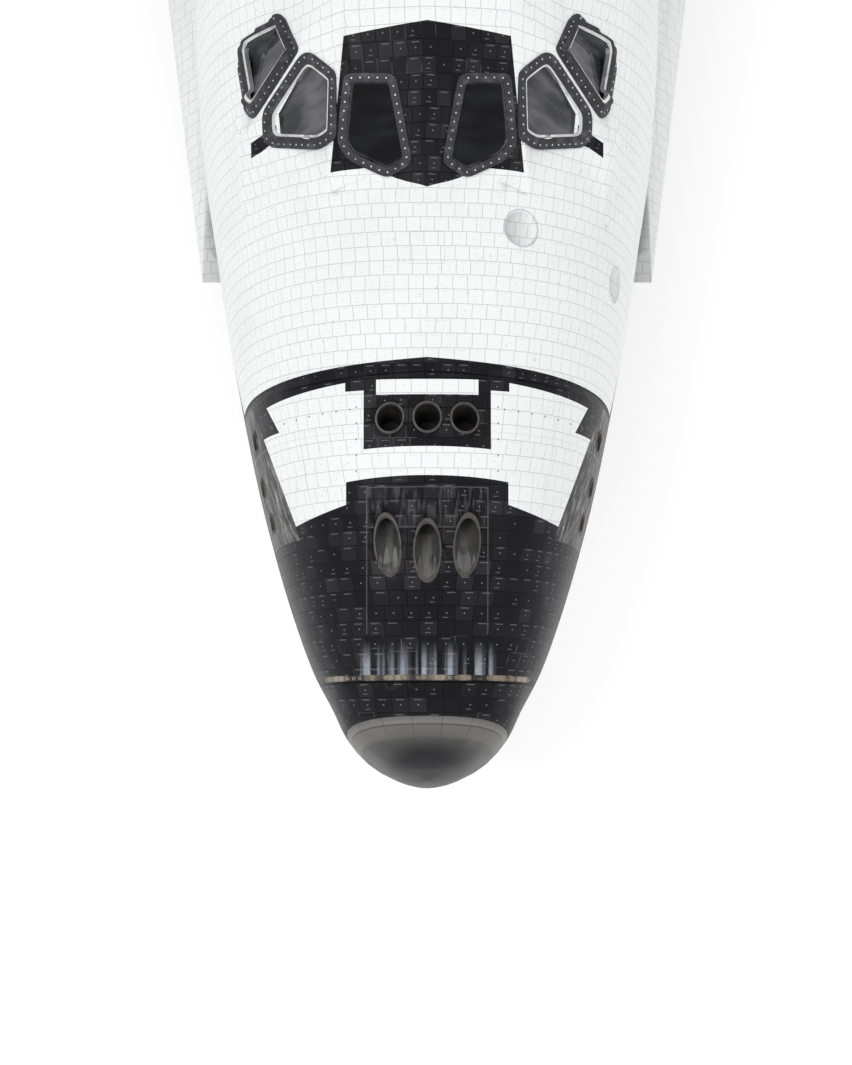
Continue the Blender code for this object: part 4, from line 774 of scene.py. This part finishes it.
def frameLoops(corners, side):
    # three strips between the rounded outline of a frame and its inner edge
    bm = bmesh.new()
    bm.faces.new([bm.verts.new((x * side, y, z)) for x, y, z in corners])
    for _ in range(6):
        long = [e for e in bm.edges if e.calc_length() > windows["step"]]
        if long:
            bmesh.ops.subdivide_edges(bm, edges=long, cuts=1)
    face = max(bm.faces, key=lambda f: len(f.verts))
    face.normal_update()
    normal = face.normal.copy()
    loops = [eased([v.co.copy() for v in face.verts], windows["ease"])]
    bm.free()
    for _ in range(3):
        last = loops[-1]
        ways = [(b - a).normalized() for a, b in zip(last[-1:] + last[:-1], last[1:] + last[:1])]
        inner = [point + normal.cross(way) * windows["width"] / 3.0 for point, way in zip(last, ways)]
        loops.append(eased(inner, 2))
    return loops, normal if normal.z > 0.0 else -normal


def settle(points, normal):
    # heights of the points' places on the nose, along the frame's normal
    heights = []
    for point in points:
        spot = noseTree.ray_cast(point + normal * 0.4, -normal, 0.55)[0]
        heights.append(None if spot is None else (spot - point).dot(normal))
    known = sorted(h for h in heights if h is not None)
    usual = known[len(known) // 2] if known else 0.0
    heights = eased([usual if h is None or abs(h - usual) > 0.07 else h for h in heights], 4)
    return [point + normal * height for point, height in zip(points, heights)]


def windowFrame(name, corners, side, word):
    loops, normal = frameLoops(corners, side)
    loops = [settle(loop, normal) for loop in loops]
    rise, middle = normal * windows["rise"], sum(loops[3], Vector()) / len(loops[3])
    bm = bmesh.new()
    verts = startRing(bm, [point - rise * 0.8 for point in loops[0]])
    for share, loop in zip((0.75, 1.0, 1.0, 0.9), loops):
        verts = grow(bm, verts, [point + rise * share for point in loop])
    grow(bm, verts, [point - rise * 1.5 for point in loops[3]])
    bmesh.ops.recalc_face_normals(bm, faces=bm.faces[:])
    makePiece("window_frame_%s_%s" % (name, word), bm, finish["frameMetal"], "airframe",
              closed=False)
    bolts = bmesh.new()
    turn = Vector((0.0, 0.0, 1.0)).rotation_difference(normal).to_matrix().to_4x4()
    track = [(a + b) * 0.5 + rise * 1.1 for a, b in zip(loops[1], loops[2])]
    places = []
    left = windows["boltStep"] * 0.5
    for a, b in zip(track, track[1:] + track[:1]):
        length = (b - a).length
        while left < length:
            places.append(Matrix.Translation(a.lerp(b, left / length)) @ turn)
            left += windows["boltStep"]
        left -= length
    radius = windows["boltRadius"]
    addCopies(bolts, lambda bm: bmesh.ops.create_cone(bm, cap_ends=True, segments=8, radius1=radius,
                                                      radius2=radius * 0.75, depth=0.007), places)
    makePiece("window_bolts_%s_%s" % (name, word), bolts, finish["bolt"], "airframe")
    share, pull = windows["reveal"][name]
    middle = middle + Vector((-0.6 * side, 0.0, 0.8)) * pull
    sleeve = bmesh.new()
    verts = startRing(sleeve, [point + rise * 0.8 for point in loops[3]])
    for inset in (share + (1.0 - share) * 0.45, share + 0.01):
        flat = [middle.lerp(point, inset) for point in loops[3]]
        verts = grow(sleeve, verts, [point + rise * 0.3 for point in settle(flat, normal)])
    grow(sleeve, verts, [middle.lerp(point, share) - normal * 0.045 for point in loops[3]])
    for number, face in enumerate(sleeve.faces):
        face.material_index = int(number >= len(verts))
    bmesh.ops.recalc_face_normals(sleeve, faces=sleeve.faces[:])
    bmesh.ops.solidify(sleeve, geom=sleeve.faces[:], thickness=0.003)
    makePiece("window_reveal_%s_%s" % (name, word), sleeve, [finish["frameMetal"], finish["reveal"]], "airframe",
              50.0)


for name in ("forward", "middle", "side"):
    for side, word in sides:
        windowFrame(name, windows[name], side, word)
print("window frames made")


def surfaceCrossing(start, along, across, radii, length, extra, lift):
    # where a line on the cup's cone, pushed out by extra, leaves the body
    low, high = 0.0, length * 1.15
    for _ in range(26):
        t = (low + high) / 2.0
        radius = radii[0] + (radii[1] - radii[0]) * t / length + extra
        point = start + along * t + across * radius
        if reach(*point) < 1.0:
            low = t
        else:
            high = t
    return skinPoint(*point, lift)


def nozzle(name, start, end, inner, outer, inside):
    # a rim on the body's surface and the cone inside it
    start, end = Vector(start), Vector(end)
    length = (end - start).length
    along = (end - start).normalized()
    turn = Vector((0.0, 0.0, 1.0)).rotation_difference(along).to_matrix()
    radii = (inner * nozzles["share"], outer * nozzles["share"])
    count = nozzles["segments"]
    directions = [turn @ Vector((math.cos(2 * math.pi * i / count), math.sin(2 * math.pi * i / count), 0.0))
                  for i in range(count)]

    def ring(extra, lift):
        return [surfaceCrossing(start, along, direction, radii, length, extra, lift) for direction in directions]

    bm = bmesh.new()
    verts = startRing(bm, ring(nozzles["rim"], -0.004))
    for extra, lift in ((nozzles["rim"] * 0.75, nozzles["lift"]), (0.004, nozzles["lift"]), (0.0, -0.012)):
        verts = grow(bm, verts, ring(extra, lift))
    rimFaces = len(bm.faces)
    mouths = [vert.co.copy() for vert in verts]
    for share in (0.6, 0.3, 0.0):
        places = []
        for direction, mouth in zip(directions, mouths):
            deep = (mouth - start).dot(along) * share + 0.004
            places.append(start + along * deep + direction * (radii[0] + (radii[1] - radii[0]) * deep / length))
        verts = grow(bm, verts, places)
    bm.faces.new(verts)
    bm.faces.ensure_lookup_table()
    bmesh.ops.recalc_face_normals(bm, faces=bm.faces[:])
    if bm.faces[len(bm.faces) - 1].normal.dot(along) < 0.0:
        bmesh.ops.reverse_faces(bm, faces=bm.faces[:])
    for number, face in enumerate(bm.faces):
        face.material_index = 0 if number < rimFaces else 1
    makePiece(name, bm, [finish["rim"], inside], "airframe", 50.0, closed=False)


# up and side nozzles get the near-black painted shade inside, forward nozzles the scorched inside
for place, inside in (("up", "throat"), ("forward", "scorched"), ("side", "throat")):
    for number, (start, end, inner, outer) in enumerate(nozzles[place]):
        nozzle("nozzle_%s_%d" % (place, number), start, end, inner, outer, finish[inside])
print("nozzles made")


# turned pieces: tyres, wheels, engines and their fittings
def spin(bm, profile, centre, axis, steps, closed=False):
    # a line of (radius, distance) turned round an axis
    axis, centre = Vector(axis).normalized(), Vector(centre)
    out = axis.orthogonal().normalized()
    verts = [bm.verts.new(centre + axis * distance + out * radius) for radius, distance in profile]
    pairs = list(zip(verts, verts[1:])) + ([(verts[-1], verts[0])] if closed else [])
    edges = [bm.edges.new(pair) for pair in pairs]
    bmesh.ops.spin(bm, geom=verts + edges, cent=centre, axis=axis, angle=2.0 * math.pi, steps=steps,
                   use_merge=True)


tyre = {"nose": (0.406, 0.112, 0.055, 3), "main": (0.565, 0.203, 0.085, 4), "rim": 0.52, "steps": 72,
        "groove": (0.006, 0.011), "flat": math.cos(math.pi / 20)}


def tyreProfile(radius, half, grooves):
    tread = radius * tyre["flat"]
    width, depth = tyre["groove"]
    shoulder = [(radius * tyre["rim"], 0.70), (radius * 0.60, 0.90), (radius * 0.70, 0.99), (radius * 0.80, 0.99),
                (radius * 0.90, 0.90), (radius * 0.955, 0.80), (tread * 0.992, 0.68)]
    line = [(r, -share * half) for r, share in shoulder]
    for number in range(grooves):
        middle = half * 0.62 * (2.0 * (number + 0.5) / grooves - 1.0)
        line += [(tread, middle - width * 1.6), (tread - depth, middle - width), (tread - depth, middle + width),
                 (tread, middle + width * 1.6)]
    return line + [(r, share * half) for r, share in reversed(shoulder)]


def hubProfile(radius, half, axle):
    rim, bore = radius * tyre["rim"] - 0.0005, axle + 0.0013
    side = [(bore, 0.74), (bore + 0.022, 0.74), (bore + 0.030, 0.66), (rim * 0.48, 0.42), (rim * 0.78, 0.38),
            (rim * 0.86, 0.52), (rim * 0.90, 0.64), (rim, 0.66)]
    return [(r, -share * half) for r, share in side] + [(r, share * half) for r, share in reversed(side)]


def nodeMiddle(node):
    low, high = (Vector(corner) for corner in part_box(node))
    return (low + high) / 2.0


def dressWheel(tyreNode, wheelNode, kind):
    radius, half, axle, grooves = tyre[kind]
    for node, profile, look, slot in ((tyreNode, tyreProfile(radius, half, grooves), "tyre", "tyre_rubber"),
                                      (wheelNode, hubProfile(radius, half, axle), "wheel", "wheel_metal")):
        bm = bmesh.new()
        spin(bm, profile, nodeMiddle(node), (1.0, 0.0, 0.0), tyre["steps"], closed=True)
        piece = makePiece(node + "_turned", bm, finish[look], bodyOfNode[node], inCraft=False)
        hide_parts(node)
    bolts = bmesh.new()
    places = []
    for side in (-1.0, 1.0):
        for step in range(10):
            angle = 2.0 * math.pi * step / 10
            turn = Matrix.Rotation(angle, 4, "X") @ Matrix.Translation((side * half * 0.42, 0.0, radius * 0.33))
            places.append(Matrix.Translation(nodeMiddle(wheelNode)) @ turn @ Matrix.Rotation(math.pi / 2.0, 4, "Y"))
    addCopies(bolts, lambda bm: bmesh.ops.create_cone(bm, cap_ends=True, segments=6, radius1=radius * 0.022,
                                                      radius2=radius * 0.022, depth=half * 0.12), places)
    makePiece(wheelNode + "_bolts", bolts, finish["bolt"], bodyOfNode[wheelNode], inCraft=False)


for word in ("left", "right"):
    dressWheel("nose_tyre_" + word, "nose_wheel_" + word, "nose")
    for place in ("inner", "outer"):
        dressWheel("main_%s_tyre_%s" % (word, place), "main_%s_wheel_%s" % (word, place), "main")
print("wheels made")


engines = {
    "main": {"upper": ((0.0, 30.78, 4.35), 16.0, 0.0), "left": ((1.346, 31.30, 1.92), 10.0, 3.5),
             "right": ((-1.346, 31.30, 1.92), 10.0, -3.5)},
    "pod": {"left": ((2.235, 32.95, 5.45), 15.8, 6.5), "right": ((-2.235, 32.95, 5.45), 15.8, -6.5)},
    "ball": 0.16, "dome": 1.085, "steps": 72, "hoop": (0.018, 0.020),
}


def aimOf(pitch, yaw):
    pitch, yaw = math.radians(pitch), math.radians(yaw)
    return Vector((math.sin(yaw), math.cos(yaw) * math.cos(pitch), math.cos(yaw) * math.sin(pitch)))


def bellLine(throat, mouth, start, length, wall, hoops):
    # outer line with its stiffening hoops, then the smooth inner line
    high, wide = engines["hoop"]
    outer = [(throat + (mouth - throat) * (i / 24) ** 0.65, start + length * i / 24, 0.0) for i in range(25)]
    for share in hoops:
        radius, place = throat + (mouth - throat) * share ** 0.65, start + length * share
        outer += [(radius, place - wide, 0.0), (radius, place - wide * 0.6, high),
                  (radius, place + wide * 0.6, high), (radius, place + wide, 0.0)]
    outer = [(radius + rise - 0.004, place) for radius, place, rise in sorted(outer, key=lambda item: item[1])]
    inner = [(throat - wall + (mouth - throat) * (i / 24) ** 0.65, start + length * i / 24)
             for i in range(24, -1, -1)]
    return outer + inner


def dressEngine(node, profile, gimbal, aim, split):
    bm = bmesh.new()
    spin(bm, profile, gimbal, aim, engines["steps"])
    for face in bm.faces:
        face.material_index = int((face.calc_center_median() - Vector(gimbal)).dot(aim) < split)
    piece = makePiece(node + "_turned", bm, [finish["bell"], finish["shieldQuilt"]], bodyOfNode[node],
                      40.0)
    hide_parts(node)


ball, dome = engines["ball"], engines["dome"]
head = [(0.0, -ball), (ball * 0.7, -ball * 0.7), (ball, 0.0), (ball * 0.8, 0.12), (0.34, 0.30), (0.42, 0.60)]
for radius, angles in ((dome - 0.06, range(24, 61, 4)), (dome, range(60, 21, -4))):
    head += [(radius * math.sin(math.radians(a)), radius * math.cos(math.radians(a))) for a in angles]
for word, (gimbal, pitch, yaw) in engines["main"].items():
    line = head + bellLine(0.36, 1.195, 1.30, 2.96, 0.05, (0.10, 0.22, 0.34, 0.47, 0.60, 0.73, 0.86, 0.985))
    dressEngine("main_engine_" + word, line + [(0.0, 1.45)], gimbal, aimOf(pitch, yaw), 1.24)
for word, (gimbal, pitch, yaw) in engines["pod"].items():
    line = [(0.0, 0.0003), (0.20, 0.0003), (0.22, 0.35)]
    line += bellLine(0.14, 0.546, 0.45, 1.35, 0.03, (0.3, 0.985)) + [(0.0, 0.60)]
    dressEngine("manoeuvring_bell_" + word, line, gimbal, aimOf(pitch, yaw), 0.40)
print("engines made")


# small thruster mouths on the pods: start of a line towards the pod, and the line's direction
podThrusters = {"radius": 0.075, "lines": [((5.2, y, 5.05), (-1.0, 0.0, 0.0)) for y in (32.70, 33.02, 33.34)]
                + [((2.36, y, 8.0), (0.0, 0.0, -1.0)) for y in (32.70, 33.02, 33.34)]
                + [((2.36 + x, 36.0, z), (0.0, -1.0, 0.0)) for x, z in ((0.52, 5.45), (0.60, 4.75))]}
for side, word in sides:
    podTree = craftTree(frame["nodes"]["manoeuvring_pod_" + word].data)
    bm = bmesh.new()
    radius = podThrusters["radius"]
    for start, away in podThrusters["lines"]:
        start, away = Vector((start[0] * side, *start[1:])), Vector((away[0] * side, *away[1:]))
        spot = podTree.ray_cast(start, away)[0]
        if spot is not None:
            spin(bm, [(0.0, -0.10), (radius * 0.5, -0.10), (radius, 0.022), (radius * 1.2, 0.022),
                      (radius * 1.35, -0.05)], spot, -away, 24)
    makePiece("pod_thrusters_" + word, bm, finish["scorched"], "airframe", 40.0)
print("pod thrusters made")


# load bay frames, and the polished legs of the landing gear
bay = {"axis": 3.38, "radius": 2.284, "first": 9.6, "last": 26.4, "count": 13, "rib": (0.045, 0.05)}
ribs = bmesh.new()
thick, wide = bay["rib"]
for number in range(bay["count"]):
    y = bay["first"] + (bay["last"] - bay["first"]) * number / (bay["count"] - 1)
    section = [ribs.verts.new((r, y + d, bay["axis"])) for r, d in
               ((bay["radius"], -wide), (bay["radius"] - thick, -wide), (bay["radius"] - thick, wide),
                (bay["radius"], wide))]
    edges = [ribs.edges.new(pair) for pair in zip(section, section[1:] + section[:1])]
    bmesh.ops.spin(ribs, geom=section + edges, cent=(0.0, y, bay["axis"]), axis=(0.0, 1.0, 0.0),
                   angle=math.pi, steps=32)
makePiece("bay_frames", ribs, finish["gearPaint"], "airframe")

legs = {"nose": ((0.0, 3.607), 0.0665, 0.13, 0.48), "left": ((3.455, 23.90), 0.1115, 0.13, 0.66),
        "right": ((-3.455, 23.90), 0.1115, 0.13, 0.66)}
for word, ((x, y), radius, low, high) in legs.items():
    wheelNode = "nose_wheel_left" if word == "nose" else "main_%s_wheel_inner" % word
    axle = (worldToCraft @ nodeMiddle(wheelNode)).z
    bm = bmesh.new()
    spin(bm, [(radius - 0.02, low), (radius, low), (radius, high), (radius + 0.03, high),
              (radius + 0.035, high + 0.05), (radius - 0.02, high + 0.05)], (x, y, axle), (0.0, 0.0, 1.0), 32)
    body = "airframe" if word != "nose" else bodyOfNode["nose_gear_fork"]
    makePiece("gear_piston_" + word, bm, finish["chrome"], body)
print("bay frames and gear pistons made")


# crew seats: metal shells with crowned cushions and harness straps, in the craft's axes
seat = {
    "middle": 0.62,
    "pads": {"pan": ((0.0, 6.215, 3.437), (0.46, 0.41, 0.115), 0.0, (-0.34, 0.34)),
             "back": ((0.0, 6.452, 3.835), (0.44, 0.58, 0.072), 90.0, (-0.5, 0.0, 0.5)),
             "head": ((0.0, 6.455, 4.245), (0.30, 0.17, 0.070), 90.0, ())},
    "shell": (((0.0, 6.525, 3.83), (0.48, 0.065, 1.02)), ((0.0, 6.25, 3.345), (0.48, 0.46, 0.055)),
              ((0.17, 6.25, 3.185), (0.05, 0.40, 0.265)), ((-0.17, 6.25, 3.185), (0.05, 0.40, 0.265))),
    "strap": ((6.49, 4.12), (6.418, 4.10), (6.408, 3.90), (6.405, 3.66), (6.33, 3.51), (6.14, 3.503), (6.02, 3.49)),
}


def pad(name, centre, size, tilt, channels, x):
    bm = bmesh.new()
    bmesh.ops.create_cube(bm, size=2.0)
    bmesh.ops.subdivide_edges(bm, edges=bm.edges[:], cuts=13, use_grid_fill=True)
    for vert in bm.verts:
        u, w, t = vert.co
        crown = (1.0 - u ** 4) * (1.0 - w ** 4)
        groove = sum(math.exp(-((w - place) / 0.06) ** 2) for place in channels) * 0.20 if t > 0.0 else 0.0
        across = 0.5 * size[0] * u * (1.0 - 0.05 * (1.0 - w * w)) * (1.0 - 0.06 * abs(t) ** 3)
        along = 0.5 * size[1] * w * (1.0 - 0.05 * (1.0 - u * u)) * (1.0 - 0.06 * abs(t) ** 3)
        vert.co = (across, along, 0.5 * size[2] * t * (0.45 + 0.55 * crown) - groove * size[2] * 0.5)
    place = Matrix.Translation((centre[0] + x, *centre[1:])) @ Matrix.Rotation(math.radians(tilt), 4, "X")
    bmesh.ops.transform(bm, matrix=place, verts=bm.verts[:])
    piece = makePiece(name, bm, finish["seat"], "airframe", 60.0)
    smooth = piece.modifiers.new("smooth", "SUBSURF")
    smooth.levels = 1
    smooth.render_levels = 1


for side, word in sides:
    x = side * seat["middle"]
    shell = bmesh.new()
    for centre, size in seat["shell"]:
        before = set(shell.verts)
        bmesh.ops.create_cube(shell, size=1.0, matrix=Matrix.Translation((centre[0] + x, *centre[1:]))
                              @ Matrix.Diagonal((*size, 1.0)))
        made = [v for v in shell.verts if v not in before]
        edges = list({e for v in made for e in v.link_edges})
        bmesh.ops.bevel(shell, geom=edges, offset=0.014, affect="EDGES", segments=3, profile=0.5, material=-1)
    piece = makePiece("seat_shell_" + word, shell, finish["gearPaint"], "airframe")
    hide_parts("seat_" + word)
    for name, (centre, size, tilt, channels) in seat["pads"].items():
        pad("seat_%s_%s" % (name, word), centre, size, tilt, channels, x)
    straps = bmesh.new()
    for offset in (-0.10, 0.10):
        ends = [straps.verts.new((x + offset + dx, *seat["strap"][0])) for dx in (-0.024, 0.024)]
        edge = straps.edges.new(ends)
        for y, z in seat["strap"][1:]:
            made = bmesh.ops.extrude_edge_only(straps, edges=[edge])
            edge = next(item for item in made["geom"] if isinstance(item, bmesh.types.BMEdge)
                        and all(v in made["geom"] for v in item.verts))
            for vert in edge.verts:
                vert.co.y, vert.co.z = y, z
    bmesh.ops.recalc_face_normals(straps, faces=straps.faces[:])
    bmesh.ops.solidify(straps, geom=straps.faces[:], thickness=0.003)
    makePiece("seat_straps_" + word, straps, finish["strap"], "airframe")
print("seats made")


# floor, light and camera
studio = {"floor": (0.60, 0.60, 0.60), "glow": 0.60, "sky": 0.74, "camera": (-0.012, -24.971, 20.375),
          "aim": (-0.012, -16.410, 4.541), "focal": 63.9}


def studioFloor():
    bm = bmesh.new()
    bmesh.ops.create_grid(bm, x_segments=4, y_segments=4, size=400.0)
    mesh = bpy.data.meshes.new("studio_floor")
    bm.to_mesh(mesh)
    bm.free()
    g = Graph("studioFloor", roughness=0.9)
    g.put("Emission Color", (1.0, 1.0, 1.0))
    g.put("Emission Strength", studio["glow"])
    soft = g.noise(g.spot(), 0.05, 2.0)
    g.put("Base Color", g.mix(soft * 0.2, studio["floor"], (0.57, 0.57, 0.57)))
    mesh.materials.append(g.material)
    floor = bpy.data.objects.new("studio_floor", mesh)
    floor.location = (0.0, 0.0, -0.001)
    bpy.context.scene.collection.objects.link(floor)


def lamp(name, place, target, size, power):
    data = bpy.data.lights.new(name, "AREA")
    data.shape = "DISK"
    data.size = size
    data.energy = power
    light = bpy.data.objects.new(name, data)
    light.location = place
    light.rotation_euler = (Vector(target) - Vector(place)).to_track_quat("-Z", "Y").to_euler()
    bpy.context.scene.collection.objects.link(light)


studioFloor()
world = bpy.data.worlds.new("studio")
world.use_nodes = True
world.node_tree.nodes["Background"].inputs[0].default_value = (1.0, 1.0, 1.0, 1.0)
world.node_tree.nodes["Background"].inputs[1].default_value = studio["sky"]
bpy.context.scene.world = world
bpy.context.scene.view_settings.view_transform = "Standard"
lamp("key", (-14.0, -26.0, 30.0), (0.0, -14.0, 3.0), 14.0, 3400.0)
lamp("fill", (22.0, -22.0, 24.0), (0.0, -12.0, 3.0), 16.0, 1500.0)
lens = bpy.data.cameras.new("photo_camera")
lens.lens = studio["focal"]
lens.sensor_fit = "AUTO"
lens.sensor_width = 36.0
lens.clip_end = 2000.0
camera = bpy.data.objects.new("photo_camera", lens)
camera.location = studio["camera"]
camera.rotation_euler = (Vector(studio["aim"]) - Vector(studio["camera"])).to_track_quat("-Z", "Y").to_euler()
bpy.context.scene.collection.objects.link(camera)
bpy.context.scene.camera = camera
print("studio set")
